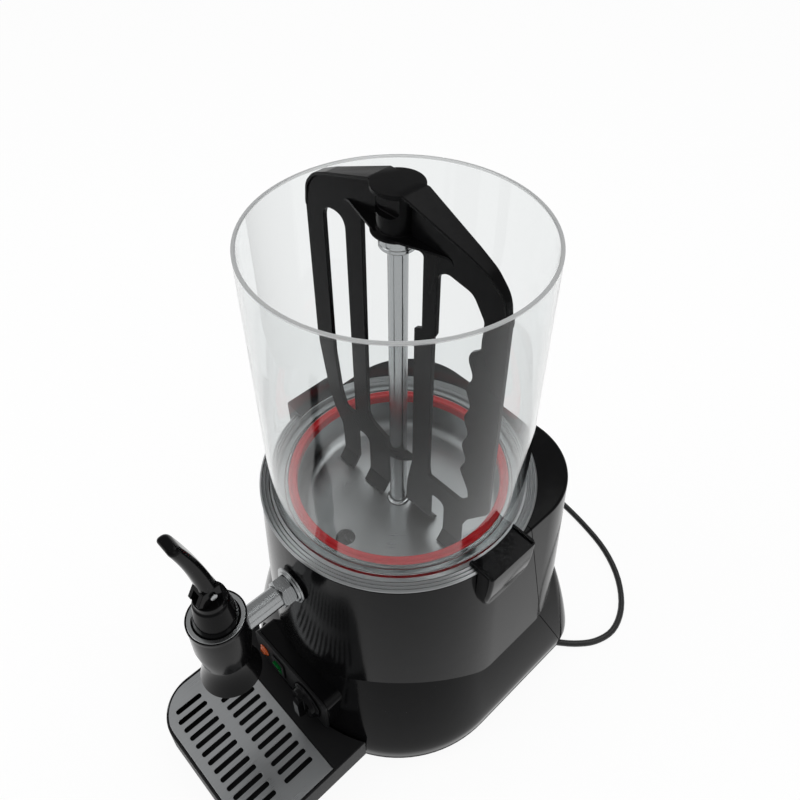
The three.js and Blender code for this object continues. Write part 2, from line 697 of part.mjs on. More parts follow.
// One arm's roof: a wide sloping web that narrows from the hub to the blade's corner
function armRoof(side) {
  const station = (x, z, width) => [
    new THREE.Vector3(width, z - arm.web, x),
    new THREE.Vector3(width, z, x),
    new THREE.Vector3(-width, z, x),
    new THREE.Vector3(-width, z - arm.web, x),
  ];
  const roof = loft([
    station(hub.radius / 2, arm.top, arm.rootWidth / 2),
    station(arm.root, arm.top, arm.rootWidth / 2),
    station(arm.tipRadius, arm.tip, blade.thickness / 2),
  ]);
  roof.rotateX(quarter);
  roof.rotateZ(side > 0 ? quarter : -quarter);
  return roof;
}

// A leg's toe: it leaves the plate and leans out of its plane to sweep the floor
function bentToe(inner, outer, reach) {
  const low = toe.floorGap - pan.depth;
  const high = low + toe.rise;
  const half = blade.thickness / 2;
  const ring = (shift, z) => [
    new THREE.Vector3(inner, -half + shift, z),
    new THREE.Vector3(outer, -half + shift, z),
    new THREE.Vector3(outer, half + shift, z),
    new THREE.Vector3(inner, half + shift, z),
  ];
  return loft([ring(reach, low), ring(0, high), ring(0, high + blade.thickness / 2)]);
}

function makeAgitator() {
  const half = blade.thickness / 2;
  const plate = prismAlongY(outline(bladeOutline(), [leftSlot(), rightWindow()]), -half, half);
  let body = solidOf(plate);
  for (const side of [1, -1]) body = body.add(solidOf(armRoof(side)));
  const toes = [
    [-legs.outer, -legs.gap, -toe.reach],
    [-legs.gapInner, -legs.inner, -toe.reach],
    [legsRight.inner, legsRight.gap, toe.reach],
    [legsRight.gapOuter, legsRight.outer, -toe.reach],
  ];
  for (const [inner, outer, reach] of toes) body = body.add(solidOf(bentToe(inner, outer, reach)));

  // Thick gussets between the hub and the arms
  const gusset = (side) => {
    const reach = side * (barRight.outer + toe.rise);
    const points = [
      [side * hub.radius / 2, arm.gusset],
      [side * (barRight.outer + toe.reach), arm.gusset + legs.elbow],
      [reach, arm.gusset + toe.rise],
      [reach, arm.tip + toe.rise],
      [side * hub.radius / 2, arm.top - arm.web],
    ];
    const shape = outline(points.map(([x, z]) => new THREE.Vector2(x, z)));
    return solidOf(prismAlongY(shape, -gussetHalf, gussetHalf));
  };
  body = body.add(gusset(1)).add(gusset(-1));

  // Hub with its cap and flange
  const hubFoot = arm.top - (rimHeight + arm.top - hubBottom);
  const profile = [
    [0, hubFoot],
    [hub.flange, hubFoot],
    [hub.flange, hubFoot + hub.flangeHeight / 2],
    [hub.radius, hubFoot + hub.flangeHeight],
    [hub.radius, arm.top - hub.capHeight],
    [hub.cap, arm.top - hub.capHeight],
    [hub.cap, arm.top],
    [0, arm.top],
  ];
  body = body.add(solidOf(revolve(profile, 28)));

  // Guide round the column, open at the back
  const guideOuter = guide.bore + guide.wall;
  const ring = outline([
    ...arc(0, 0, guideOuter, -2 * quarter, 0, 12),
    new THREE.Vector2(legsRight.inner + toe.reach, 0),
    new THREE.Vector2(legsRight.inner + toe.reach, half),
    new THREE.Vector2(guide.bore, half),
    ...arc(0, 0, guide.bore, 0, -2 * quarter, 12),
    new THREE.Vector2(-guide.bore, half),
    new THREE.Vector2(-guideOuter - toe.floorGap, half),
    new THREE.Vector2(-guideOuter - toe.floorGap, 0),
  ]);
  body = body.add(solidOf(prism(ring, guide.height, guide.bottom)));

  // Bore for the shaft, slot for its pin, and the moulder's pocket on the hub's front
  const slotTop = pinHeight + shaft.pinRadius + clearance;
  const slotHalf = shaft.pinRadius + clearance;
  const slotReach = shaft.pinLength / 2 + clearance;
  const cuts = [
    rod(shaft.radius + clearance, hubFoot - overrun, shaftTop + clearance, 20),
    block(-slotReach, slotReach, -slotHalf, slotHalf, hubFoot - overrun, slotTop),
  ];
  for (const cut of cuts) body = body.subtract(solidOf(cut));
  const pocketTop = arm.top - 1.5 * hub.capHeight;
  const pocket = outline([
    new THREE.Vector2(hub.pocket / 2, pocketTop),
    new THREE.Vector2(-hub.pocket / 2, pocketTop),
    ...arc(0, pocketTop - hub.pocket / 2, hub.pocket / 2, 2 * quarter, 4 * quarter, 8),
  ]);
  const pocketFace = -hub.radius + blade.thickness;
  body = body.subtract(solidOf(prismAlongY(pocket, -hub.radius - overrun, pocketFace)));
  const mesh = addPiece("agitator", body, "blackGloss");
  mesh.position.z = rimHeight;
}

// Casing

// The upper body's outline at a height: a half circle in front, two large corners behind
function upperRing(z, inset) {
  const half = frontWall(z) - inset;
  const corner = casing.rearCorner + half - casing.halfWidth;
  const back = casing.back - (z - casingFoot) * casing.leanShare - inset - corner;
  return lift(
    [
      ...arc(0, 0, half, 2 * quarter, 4 * quarter, 22),
      ...arc(half - corner, back, corner, 0, quarter, 6),
      ...arc(corner - half, back, corner, quarter, 2 * quarter, 6),
    ],
    z,
  );
}

// The wide foot's outline at a height: it draws in over its shoulder and tucks under at the table
function hipRing(z, inset) {
  const t = Math.min(Math.max((z - shoulder.foot) / (shoulder.top - shoulder.foot), 0), 1);
  const round = 1 - (1 - t ** shoulderShares.swell) ** (1 / shoulderShares.fall);
  const low = Math.max(shoulder.tuckTop - z, 0) / shoulder.tuckTop;
  const drawn = inset + shoulder.inset * round + hip.tuck * low * low;
  const half = hip.halfWidth - drawn;
  const front = hip.front - drawn;
  const back = hip.back - drawn;
  const rear = Math.max(hip.rearCorner - drawn, casing.wall);
  const fore = Math.min(hip.frontCorner, hip.halfWidth - clearance) - drawn;
  return lift(
    [
      ...arc(half - fore, fore - front, fore, -quarter, 0, 9),
      ...arc(half - rear, back - rear, rear, 0, quarter, 3),
      ...arc(rear - half, back - rear, rear, quarter, 2 * quarter, 3),
      ...arc(fore - half, fore - front, fore, 2 * quarter, 3 * quarter, 9),
    ],
    z,
  );
}

// The casing's whole form, drawn in by an inset, between two heights
function casingForm(inset, low, high) {
  const edge = casing.edge;
  const upper = [upperRing(low, inset)];
  if (inset > 0) upper.push(upperRing(high, inset));
  else {
    for (let i = 0; i <= 2; i++) {
      const angle = (quarter * i) / 2;
      upper.push(upperRing(high - edge + edge * Math.sin(angle), edge * (1 - Math.cos(angle))));
    }
  }
  const crest = shoulder.foot + (shoulder.top - shoulder.foot) * shoulderShares.reach;
  const steps = inset > 0 ? 6 : 9;
  const lower = [];
  for (let i = 0; i <= steps; i++) lower.push(hipRing(low + ((crest - low) * i) / steps, inset));
  return solidOf(loft(upper)).add(solidOf(loft(lower)));
}

// The parting line between the front and rear mouldings leans back, and more so near the table
function rearRegion(shift) {
  const turnY = seam.top + (casingTop - seam.turn) * seam.leanShare + shift;
  const footY = turnY + (seam.turn - casingFoot + overrun) * seam.footShare;
  const topY = seam.top - overrun * seam.leanShare + shift;
  const far = machineBack + overrun;
  const points = [
    new THREE.Vector2(topY, casingTop + overrun),
    new THREE.Vector2(turnY, seam.turn),
    new THREE.Vector2(footY, casingFoot - overrun),
    new THREE.Vector2(far, casingFoot - overrun),
    new THREE.Vector2(far, casingTop + overrun),
  ];
  const reach = hip.halfWidth + overrun;
  return solidOf(prismAlongX(outline(points), -reach, reach));
}

// One ear: a block beside the bowl whose face ends in a round tongue, with two low ridges on its top
function makeEar() {
  const top = rimHeight + ear.rise;
  const inner = earInner - ear.halfWidth / 4;
  const ring = (z, half) => {
    const drop = (top - z) / ear.drop;
    const reach = earReach - ear.draw * drop * drop;
    const corner = Math.min(earLip.corner, half / 2);
    return lift(
      [
        new THREE.Vector2(inner, -half),
        ...arc(reach - corner, corner - half, corner, -quarter, 0, 3),
        ...arc(reach - corner, half - corner, corner, 0, quarter, 3),
        new THREE.Vector2(inner, half),
      ],
      z,
    );
  };
  const rings = [];
  const steps = 6;
  for (let i = 0; i <= steps; i++) {
    const angle = (quarter * (i + 1 / 2)) / (steps + 1 / 2);
    const depth = (ear.drop - ear.straight) * Math.cos(angle);
    rings.push(ring(top - ear.straight - depth, ear.halfWidth * Math.sin(angle)));
  }
  rings.push(ring(top, ear.halfWidth));
  let body = solidOf(loft(rings));
  for (const side of [1, -1]) {
    const y = side * (ear.halfWidth - earLip.ridgeWidth);
    const half = earLip.ridgeWidth / 2;
    const end = earReach - earLip.corner;
    const ridge = block(inner, end, y - half, y + half, top - half, top + earLip.ridge);
    body = body.add(solidOf(ridge));
  }
  const lipFoot = top - earLip.height;
  const bowlRoom = rod(earInner, top - ear.drop - overrun, top + overrun, 48);
  const rimRoom = rod(pan.rimRadius + 2 * clearance, top - ear.drop - overrun, lipFoot, 48);
  return body.subtract(solidOf(bowlRoom)).subtract(solidOf(rimRoom));
}

function makeCasing() {
  const outer = casingForm(0, casingFoot, casingTop);
  const inner = casingForm(casing.wall, casingFoot - overrun, casingTop - casing.wall);
  const panRoom = rod(gasket.radius + bowl.wall + 2 * pan.sheet + overrun, 0, casingTop + overrun, 48);
  let shell = outer.subtract(inner);

  // The flat pad that carries the control panel
  const panelBack = panel.face - panel.depth - clearance;
  const padShape = outline(roundedRectangle(panel.width, panel.height, panel.corner, 0, panel.middle));
  const pad = solidOf(prismAlongY(padShape, -panelBack, -casing.halfWidth + 3 * overrun));
  const padRoom = outline(
    roundedRectangle(
      panel.width - 2 * casing.wall,
      panel.height - 2 * casing.wall,
      panel.corner - casing.wall,
      0,
      panel.middle,
    ),
  );
  const room = solidOf(prismAlongY(padRoom, -panelBack + casing.wall, -casing.halfWidth + 4 * overrun));
  shell = shell.add(pad).subtract(room).subtract(solidOf(panRoom));

  // Openings for the pipe, the controls and the air
  const inside = -casing.halfWidth + 4 * overrun;
  const outside = -panel.face - overrun;
  const middle = panel.middle;
  const openings = [
    rodAlongY(pipe.radius + clearance, outside, inside, pipeHeight),
    moved(rodAlongY(knob.bore + overrun / 2, outside, inside, middle, 16), knob.x, 0, 0),
    moved(rodAlongY(lamp.radius + clearance, outside, inside, middle, 18), lamp.x, 0, 0),
    block(
      rocker.x - rocker.width / 2 - clearance,
      rocker.x + rocker.width / 2 + clearance,
      outside,
      inside,
      middle - rocker.height / 2 - clearance,
      middle + rocker.height / 2 + clearance,
    ),
  ];
  for (let i = 0; i < vent.slots; i++) {
    const z = vent.lowest + i * vent.pitch;
    const shape = roundedRectangle(vent.length, vent.height, vent.height / 2, 0, z, 1);
    openings.push(prismAlongY(outline(shape), machineBack - 4 * overrun, machineBack + overrun));
  }
  for (const opening of openings) shell = shell.subtract(solidOf(opening));

  // Ears on the front moulding
  let front = shell.subtract(rearRegion(-clearance / 2));
  const earSolid = makeEar();
  front = front.add(earSolid);
  const other = makeEarMirror(earSolid);
  front = front.add(other);
  addPiece("front_shell", front, "blackGloss");

  const rear = shell.intersect(rearRegion(clearance / 2));
  addPiece("rear_shell", rear, "blackGloss");
}

// The ear on the other side is the same block turned half round
function makeEarMirror(earSolid) {
  return solidOf(turned(geometryOf(earSolid), turn / 2));
}

// Base

function makeBase() {
  const slab = (plan) => solidOf(loft([lift(plan, foot.height), lift(plan, baseTop)]));
  const plate = slab(hipRing(casingFoot, 0)).add(slab(upperRing(casingFoot, 0)));
  const tongue = [
    ...arc(base.halfWidth - base.corner, base.corner - base.front, base.corner, -quarter, 0, 6),
    new THREE.Vector2(base.halfWidth, 0),
    new THREE.Vector2(-base.halfWidth, 0),
    ...arc(base.corner - base.halfWidth, base.corner - base.front, base.corner, 2 * quarter, 3 * quarter, 6),
  ];
  const boss = block(-entry.width, 0, -entry.width / 2, entry.width / 2, foot.height - entry.height, baseTop);
  const socket = moved(turned(boss, (entry.heading / 360) * turn), entry.x, entry.y, 0);
  const body = plate.add(solidOf(prism(outline(tongue), base.sheet, foot.height))).add(solidOf(socket));
  addPiece("base_plate", body, "blackSatin");

  const top = foot.height - clearance;
  const profile = [
    [0, 0],
    [foot.radius - foot.taper, 0],
    [foot.radius, foot.taper],
    [foot.radius - foot.taper, top],
    [0, top],
  ];
  const rear = [hip.halfWidth - footInset.side, casing.back - footInset.back];
  const front = [base.halfWidth - footInset.tongueSide, footInset.tongueFront - base.front];
  const places = {
    rear_left: [-rear[0], rear[1]],
    rear_right: rear,
    front_left: [-front[0], front[1]],
    front_right: front,
  };
  for (const [name, [x, y]] of Object.entries(places)) {
    addPiece("foot_" + name, solidOf(moved(revolve(profile, 16), x, y, 0)), "rubber");
  }
}

// The tray's plan: round front corners, and a back that follows the casing
function trayPlan(inset, low, high) {
  const half = tray.halfWidth - inset;
  const corner = tray.corner - inset;
  const front = tray.front - inset;
  const points = [
    ...arc(half - corner, corner - front, corner, -quarter, 0, 7),
    new THREE.Vector2(half, 0),
    new THREE.Vector2(-half, 0),
    ...arc(corner - half, corner - front, corner, 2 * quarter, 3 * quarter, 7),
  ];
  const gap = 3 * clearance + inset;
  const wall = rod(frontWall(casingFoot) + gap, low - overrun, high + overrun, 72);
  const plan = hipRing(shoulder.foot, -gap);
  const hipPrism = loft([lift(plan, low - overrun), lift(plan, high + overrun)]);
  return solidOf(prism(outline(points), high - low, low)).subtract(solidOf(wall)).subtract(solidOf(hipPrism));
}

function makeTray() {
  const top = trayBottom + tray.height;
  const ledge = top - grid.sheet - clearance;
  const ahead = (y) => {
    const high = top + 2 * overrun;
    return solidOf(block(-tray.halfWidth, tray.halfWidth, -tray.front - overrun, -y, 0, high));
  };
  const basin = trayPlan(tray.wall + tray.rimStep, trayBottom + tray.floor, top + overrun);
  const step = trayPlan(tray.wall, ledge, top + overrun);
  const shell = trayPlan(0, trayBottom, top)
    .subtract(basin.intersect(ahead(grid.back + tray.rimStep)))
    .subtract(step.intersect(ahead(grid.back)));
  addPiece("drip_tray", shell, "blackSatin");

  const sheet = trayPlan(tray.wall + grid.play, ledge + clearance, ledge + clearance + grid.sheet);
  let plate = sheet.intersect(ahead(grid.back + grid.play));
  const back = -(grid.back + grid.margin);
  const front = -(tray.front - grid.margin - tray.wall);
  const rowLength = (back - front - grid.bar) / 2;
  const first = (-(gridSlot.count - 1) / 2) * gridSlot.pitch;
  for (let i = 0; i < gridSlot.count; i++) {
    const x = first + i * gridSlot.pitch;
    const beside = Math.abs(x) / (tray.halfWidth - tray.wall);
    const short = Math.max(beside - gridSlot.cornerShare, 0) * tray.corner;
    const frontLength = rowLength - short;
    const rows = [
      [back - rowLength / 2, rowLength],
      [front + short + frontLength / 2, frontLength],
    ];
    for (const [y, length] of rows) {
      const hole = roundedRectangle(gridSlot.width, length, gridSlot.width / 2 - clearance, x, y, 1);
      plate = plate.subtract(solidOf(prism(outline(hole), 2 * overrun, ledge - overrun)));
    }
  }
  addPiece("drip_grid", plate, "brushed");
}

// Tap

// Round flange, hexagon nut and pipe seen on the front wall
function makeWallFitting() {
  const wallFace = -frontWall(pipeHeight - wallFlange.radius) - clearance;
  const flangeFront = wallFace - wallFlange.thickness;
  const hole = pipe.radius + clearance;
  const boreFront = flangeFront - 2 * overrun - wallFlange.nutLength;
  const ring = rodAlongY(wallFlange.radius, flangeFront + wallFlange.step, wallFace, pipeHeight, 24);
  const layer = rodAlongY(wallFlange.stepRadius, flangeFront, wallFace, pipeHeight, 24);
  const bore = rodAlongY(hole, boreFront, wallFace + overrun, pipeHeight);
  addPiece("pipe_flange", solidOf(ring).add(solidOf(layer)).subtract(solidOf(bore)), "steel");
  const nutBack = flangeFront - clearance;
  const nut = prismAlongY(outline(hexagon(wallFlange.nutAcross)), nutBack - wallFlange.nutLength, nutBack);
  addPiece("pipe_nut", solidOf(moved(nut, 0, 0, pipeHeight)).subtract(solidOf(bore)), "steel");
}

function makeTapBody() {
  const { radius, wall } = skirt;
  const bottom = tapLevel(skirt.bottom);
  const roof = tapLevel(skirt.roof);
  const recessFoot = tapLevel(tap.top) - tap.recess;
  const flare = [];
  const steps = 5;
  for (let i = 0; i <= steps; i++) {
    const t = i / steps;
    const drawn = (tap.waist - radius) * Math.sin(quarter * t);
    flare.push([radius + drawn, bottom + (tapLevel(tap.waistHeight) - bottom) * t]);
  }
  const profile = [
    [valve.seatBore, roof - nozzle.collarHeight],
    [nozzle.collar, roof - nozzle.collarHeight],
    [nozzle.collar, roof],
    [radius - wall - nozzle.collarHeight, roof],
    [radius - wall, bottom],
    ...flare,
    [tap.barrel, pipeHeight],
    [tap.barrel, recessFoot - tap.recess],
    [tap.rim, recessFoot],
    [tap.rim, tapLevel(tap.top)],
    [tap.barrel - clearance, tapLevel(tap.top)],
    [tap.barrel - clearance, recessFoot],
    [valve.bore, recessFoot],
    [valve.bore, tapLevel(valve.seat) + clearance],
    [valve.seatBore, tapLevel(valve.seat)],
  ];
  const socket = rodAlongY(pipe.radius + clearance, 0, tap.barrel + overrun, pipeHeight);
  const body = solidOf(revolve(profile, 22)).subtract(solidOf(socket));
  addPiece("tap_body", body, "blackGloss").position.y = tap.y;
}

// Steel outlet under the skirt
function makeNozzle() {
  const top = tapLevel(skirt.roof) - nozzle.collarHeight - clearance;
  const bore = valve.seatBore;
  const profile = [
    [bore, tapLevel(nozzle.bottom)],
    [nozzle.mouth, tapLevel(nozzle.bottom)],
    [nozzle.radius, tapLevel(nozzle.bottom) + nozzle.collarHeight],
    [nozzle.radius, top - nozzle.collarHeight],
    [nozzle.collar, top - nozzle.collarHeight],
    [nozzle.collar, top],
    [bore, top],
  ];
  addPiece("tap_nozzle", solidOf(revolve(profile, 20)), "steel").position.y = tap.y;
}

// Steel ring in the body's rim, and the black bonnet that it clamps
function makeBonnet() {
  const ringFoot = tapLevel(tap.top) - tap.recess + clearance;
  const ringOuter = tap.barrel - 2 * clearance;
  const ring = [
    [tapRing.inner, ringFoot],
    [ringOuter, ringFoot],
    [ringOuter, ringFoot + tapRing.height],
    [tapRing.inner, ringFoot + tapRing.height],
  ];
  addPiece("tap_ring", solidOf(revolve(ring, 24)), "steel").position.y = tap.y;

  const shoulderHeight = tapLevel(bonnet.top) - bonnet.stepHeight;
  const hole = stem.radius + clearance;
  const profile = [
    [hole, ringFoot],
    [bonnet.foot, ringFoot],
    [bonnet.foot, ringFoot + tapRing.height],
    [bonnet.crown, shoulderHeight],
    [bonnet.stepRadius, shoulderHeight + bonnet.stepHeight / 4],
    [bonnet.stepRadius, tapLevel(bonnet.top)],
    [hole, tapLevel(bonnet.top)],
  ];
  addPiece("tap_bonnet", solidOf(revolve(profile, 20)), "blackGloss").position.y = tap.y;
}

// Stem with its plunger, and the spring that shuts the tap
function makeStem() {
  const plungerFoot = tapLevel(valve.seat) + 2 * clearance;
  const plungerTop = plungerFoot + valve.plungerHeight;
  const top = leverPivot + stem.overPin;
  const profile = [
    [0, plungerFoot],
    [valve.plunger - valve.plungerHeight / 4, plungerFoot],
    [valve.plunger, plungerFoot + valve.plungerHeight / 4],
    [valve.plunger, plungerTop],
    [stem.radius, plungerTop],
    [stem.radius, top],
    [0, top],
  ];
  const pinHole = rodAlongX(leverPin.radius + clearance, stem.radius + overrun, 0, leverPivot, 16);
  const body = solidOf(revolve(profile, 18)).subtract(solidOf(pinHole));
  addPiece("tap_stem", body, "steel").position.y = tap.y;

  const bottom = plungerTop + spring.wire + clearance;
  const reach = tapLevel(tap.top) - tap.recess - spring.wire - bottom;
  const count = spring.turns * spring.steps;
  const points = [];
  for (let i = 0; i <= count; i++) {
    const angle = (turn * i) / spring.steps;
    const z = bottom + (reach * i) / count;
    points.push(new THREE.Vector3(spring.radius * Math.cos(angle), spring.radius * Math.sin(angle), z));
  }
  addPiece("tap_spring", solidOf(tube(points, spring.wire, 4)), "steel").position.y = tap.y;
}

// The heel's outline: each turn of the lever presses a part of it on the bonnet that stands further out
function heelOutline() {
  const pull = (lever.pull / 360) * turn;
  const rate = valve.lift / pull;
  const points = [new THREE.Vector2(lever.back, lever.heel), new THREE.Vector2(lever.back, -lever.heel)];
  const steps = 8;
  for (let i = 0; i <= steps; i++) {
    const angle = (pull * i) / steps;
    const out = lever.heel + rate * angle;
    const y = -out * Math.sin(angle) - rate * Math.cos(angle);
    points.push(new THREE.Vector2(y, rate * Math.sin(angle) - out * Math.cos(angle)));
  }
  points.push(new THREE.Vector2(-lever.back, lever.heel));
  return points.reverse();
}

// Lever: a forked heel on the pin and a flat handle that leans forward and widens to its tip
function makeLever() {
  const half = lever.width / 2;
  const heel = solidOf(prismAlongX(outline(heelOutline()), -half, half));
  const stations = [];
  const count = 6;
  for (let i = 0; i <= count; i++) {
    const t = i / count;
    const narrow = i === count ? leverShares.tip : 1;
    const width = narrow * (lever.width + (lever.grip - lever.width) * t * t);
    const depth = narrow * (2 * lever.back + (lever.gripDepth - 2 * lever.back) * t);
    const y = -lever.lean * t * (1 + t);
    const points = roundedRectangle(width, depth, leverShares.corner * depth, 0, y, 3);
    stations.push(lift(points, lever.heel / 2 + lever.length * t));
  }
  const handle = solidOf(loft(stations));
  const gap = stem.radius + clearance;
  const swept = Math.hypot(stem.radius, stem.overPin) + 2 * clearance;
  const reach = 2 * lever.heel + overrun;
  const slot = block(-gap, gap, -reach, swept, -reach, swept);
  const bore = rodAlongX(leverPin.radius + clearance, half + overrun, 0, 0);
  const body = heel.add(handle).subtract(solidOf(slot)).subtract(solidOf(bore));
  addPiece("tap_lever", body, "blackGloss").position.set(0, tap.y, leverPivot);

  let pin = solidOf(rodAlongX(leverPin.radius, half + clearance + leverPin.headHeight, 0, 0, 16));
  for (const side of [1, -1]) {
    const head = rodAlongX(leverPin.head, leverPin.headHeight / 2, 0, 0, 16);
    head.translate(side * (half + clearance + leverPin.headHeight / 2), 0, 0);
    pin = pin.add(solidOf(head));
  }
  addPiece("lever_pin", pin, "steel").position.set(0, tap.y, leverPivot);
}

// Controls

function makeControls() {
  const face = -panel.face;
  const back = face + panel.depth;
  const middle = panel.middle;
  const holes = [
    moved(rodAlongY(knob.bore, face - overrun, back + overrun, middle, 16), knob.x, 0, 0),
    moved(rodAlongY(lamp.radius + clearance, face - overrun, back + overrun, middle, 18), lamp.x, 0, 0),
    block(
      rocker.x - rocker.width / 2 - clearance,
      rocker.x + rocker.width / 2 + clearance,
      face - overrun,
      back + overrun,
      middle - rocker.height / 2 - clearance,
      middle + rocker.height / 2 + clearance,
    ),
  ];
  const shape = outline(roundedRectangle(panel.width, panel.height, panel.corner, 0, middle));
  let plate = solidOf(prismAlongY(shape, face, back));
  for (const hole of holes) plate = plate.subtract(solidOf(hole));
  addPiece("control_panel", plate, "blackSatin");
  makeKnob(face);
  makeThermostat(back);
  makeRocker(face);
  makeLamp(face);
}

// Knob with a skirt and a grip bar; its shaft runs back into the thermostat
function makeKnob(face) {
  const seat = -2 * clearance;
  const profile = [
    [0, seat - knob.height],
    [knob.radius - 3 * knob.skirtHeight / 2, seat - knob.height],
    [knob.radius - knob.skirtHeight / 2, seat - knob.height + knob.skirtHeight],
    [knob.radius, seat - knob.skirtHeight],
    [knob.skirt, seat - knob.skirtHeight / 2],
    [knob.skirt, seat],
    [0, seat],
  ].map(([radius, z]) => [radius, -z]);
  const round = revolve(profile.reverse(), 24);
  round.rotateX(quarter);
  let body = solidOf(round);
  for (const side of [1, -1]) {
    const inner = (side * knob.grip) / 2;
    const outer = side * knob.radius * 2;
    const cut = block(Math.min(inner, outer), Math.max(inner, outer), seat - knob.height - overrun,
      seat - knob.height / 2, -2 * knob.radius, 2 * knob.radius);
    body = body.subtract(solidOf(cut));
  }
  const shaftEnd = panel.depth + clearance + casing.wall + thermostat.neck;
  body = body.add(solidOf(rodAlongY(knob.shaft, seat - knob.skirtHeight, shaftEnd, 0, 16)));
  addPiece("thermostat_knob", body, "blackGloss").position.set(knob.x, face, panel.middle);
}

function makeThermostat(back) {
  const wallBack = back + clearance + casing.wall + clearance;
  const hole = knob.shaft + clearance;
  const { width, height, corner } = thermostat;
  const shape = outline(roundedRectangle(width, height, corner, knob.x, panel.middle));
  const bodyFront = wallBack;
  let body = solidOf(prismAlongY(shape, bodyFront, bodyFront + thermostat.depth));
  const neckEnd = bodyFront + thermostat.neck;
  const bore = moved(rodAlongY(hole, bodyFront - overrun, neckEnd, panel.middle, 16), knob.x, 0, 0);
  body = body.subtract(solidOf(bore));
  addPiece("thermostat_body", body, "zinc");
}

// Switch: a framed body through the panel and a rocker that tips in it
function makeRocker(face) {
  const frameX = rocker.width / 2 + rocker.frame;
  const frameZ = rocker.height / 2 + rocker.frame;
  const front = face - clearance;
  const inner = outline(roundedRectangle(2 * frameX, 2 * frameZ, rocker.frame, rocker.x, panel.middle));
  let frame = solidOf(prismAlongY(inner, front - rocker.proud, front)).add(
    solidOf(
      block(
        rocker.x - rocker.width / 2,
        rocker.x + rocker.width / 2,
        front - clearance,
        front + rocker.depth,
        panel.middle - rocker.height / 2,
        panel.middle + rocker.height / 2,
      ),
    ),
  );
  const wall = rocker.proud / 2;
  const well = block(
    rocker.x - rocker.width / 2 + wall,
    rocker.x + rocker.width / 2 - wall,
    front - rocker.proud - overrun,
    front + rocker.height / 2,
    panel.middle - rocker.height / 2 + wall,
    panel.middle + rocker.height / 2 - wall,
  );
  addPiece("switch_body", frame.subtract(solidOf(well)), "blackSatin");

  const halfHeight = rocker.height / 2 - wall - 4 * clearance;
  const halfWidth = rocker.width / 2 - wall - clearance;
  const tilt = Math.tan((rocker.swing / 360) * turn);
  const nose = rocker.proud + clearance;
  const crest = nose + halfHeight * tilt;
  const profile = [
    [-halfHeight, -nose],
    [0, -nose - crest / 4],
    [halfHeight, -crest - nose / 2],
    [halfHeight - crest, halfHeight / 3],
    [0, halfHeight / 2],
    [-halfHeight + crest, halfHeight / 3],
  ].map(([z, y]) => new THREE.Vector2(y, z));
  const key = prismAlongX(outline(profile), -halfWidth, halfWidth);
  addPiece("switch_rocker", solidOf(key), "green").position.set(rocker.x, front, panel.middle);
}

function makeLamp(face) {
  const front = -clearance;
  const profile = [
    [0, front - lamp.proud],
    [lamp.radius - lamp.proud / 2, front - lamp.proud],
    [lamp.radius, front - lamp.proud / 2],
    [lamp.bezel, front - lamp.proud / 3],
    [lamp.bezel, front],
    [lamp.radius, front],
    [lamp.radius, lamp.depth],
    [0, lamp.depth],
  ].map(([radius, z]) => [radius, -z]);
  const body = revolve(profile.reverse(), 18);
  body.rotateX(quarter);
  addPiece("heating_lamp", solidOf(body), "lens").position.set(lamp.x, face, panel.middle);
}

// Heater

function makeHeater() {
  const top = panUnder - clearance;
  const ring = revolve(
    [
      [heater.inner, top - heater.height],
      [heater.outer, top - heater.height],
      [heater.outer, top],
      [heater.inner, top],
    ],
    36,
  );
  const slot = block(-heater.slot, heater.slot, -heater.outer - overrun, 0, 0, rimHeight);
  let body = solidOf(ring).subtract(solidOf(slot));
  for (const side of [1, -1]) {
    const tab = block(
      side * heater.inner - heater.terminal / 2,
      side * heater.inner + heater.terminal / 2,
      heater.outer - heater.terminal * 3,
      heater.outer - heater.terminal,
      top - heater.height - heater.terminal,
      top - heater.height / 2,
    );
    body = body.add(solidOf(tab));
  }
  addPiece("heater_plate", body, "mica");

  const limiterTop = top - heater.height - clearance;
  const profile = [
    [0, limiterTop - limiter.height],
    [limiter.radius - 2 * clearance, limiterTop - limiter.height],
    [limiter.radius, limiterTop - limiter.height / 2],
    [limiter.radius, limiterTop],
    [0, limiterTop],
  ];
  addPiece("overheat_limiter", solidOf(moved(revolve(profile, 14), -limiter.x, 0, 0)), "blackSatin");
}

// Mains lead

// A tube whose rings stand upright on a line of points
function wound(points, radius, sides) {
  const positions = [];
  const triangles = [];
  const up = new THREE.Vector3(0, 0, 1);
  const last = points.length - 1;
  points.forEach((point, i) => {
    const ahead = points[Math.min(i + 1, last)].clone().sub(points[Math.max(i - 1, 0)]).normalize();
    const aside = new THREE.Vector3().crossVectors(ahead, up).normalize();
    const over = new THREE.Vector3().crossVectors(aside, ahead);
    for (let k = 0; k < sides; k++) {
      const angle = (turn * k) / sides;
      const p = point.clone().addScaledVector(aside, radius * Math.cos(angle));
      p.addScaledVector(over, radius * Math.sin(angle));
      positions.push(p.x, p.y, p.z);
    }
  });
  for (let i = 0; i < last; i++) {
    for (let k = 0; k < sides; k++) {
      const next = (k + 1) % sides;
      const here = i * sides;
      const there = here + sides;
      triangles.push(here + k, there + k, there + next, here + k, there + next, here + next);
    }
  }
  for (let k = 1; k + 1 < sides; k++) {
    triangles.push(0, k, k + 1);
    triangles.push(last * sides, last * sides + k + 1, last * sides + k);
  }
  const geometry = new THREE.BufferGeometry();
  geometry.setAttribute("position", new THREE.Float32BufferAttribute(positions, 3));
  geometry.setIndex(triangles);
  return geometry;
}

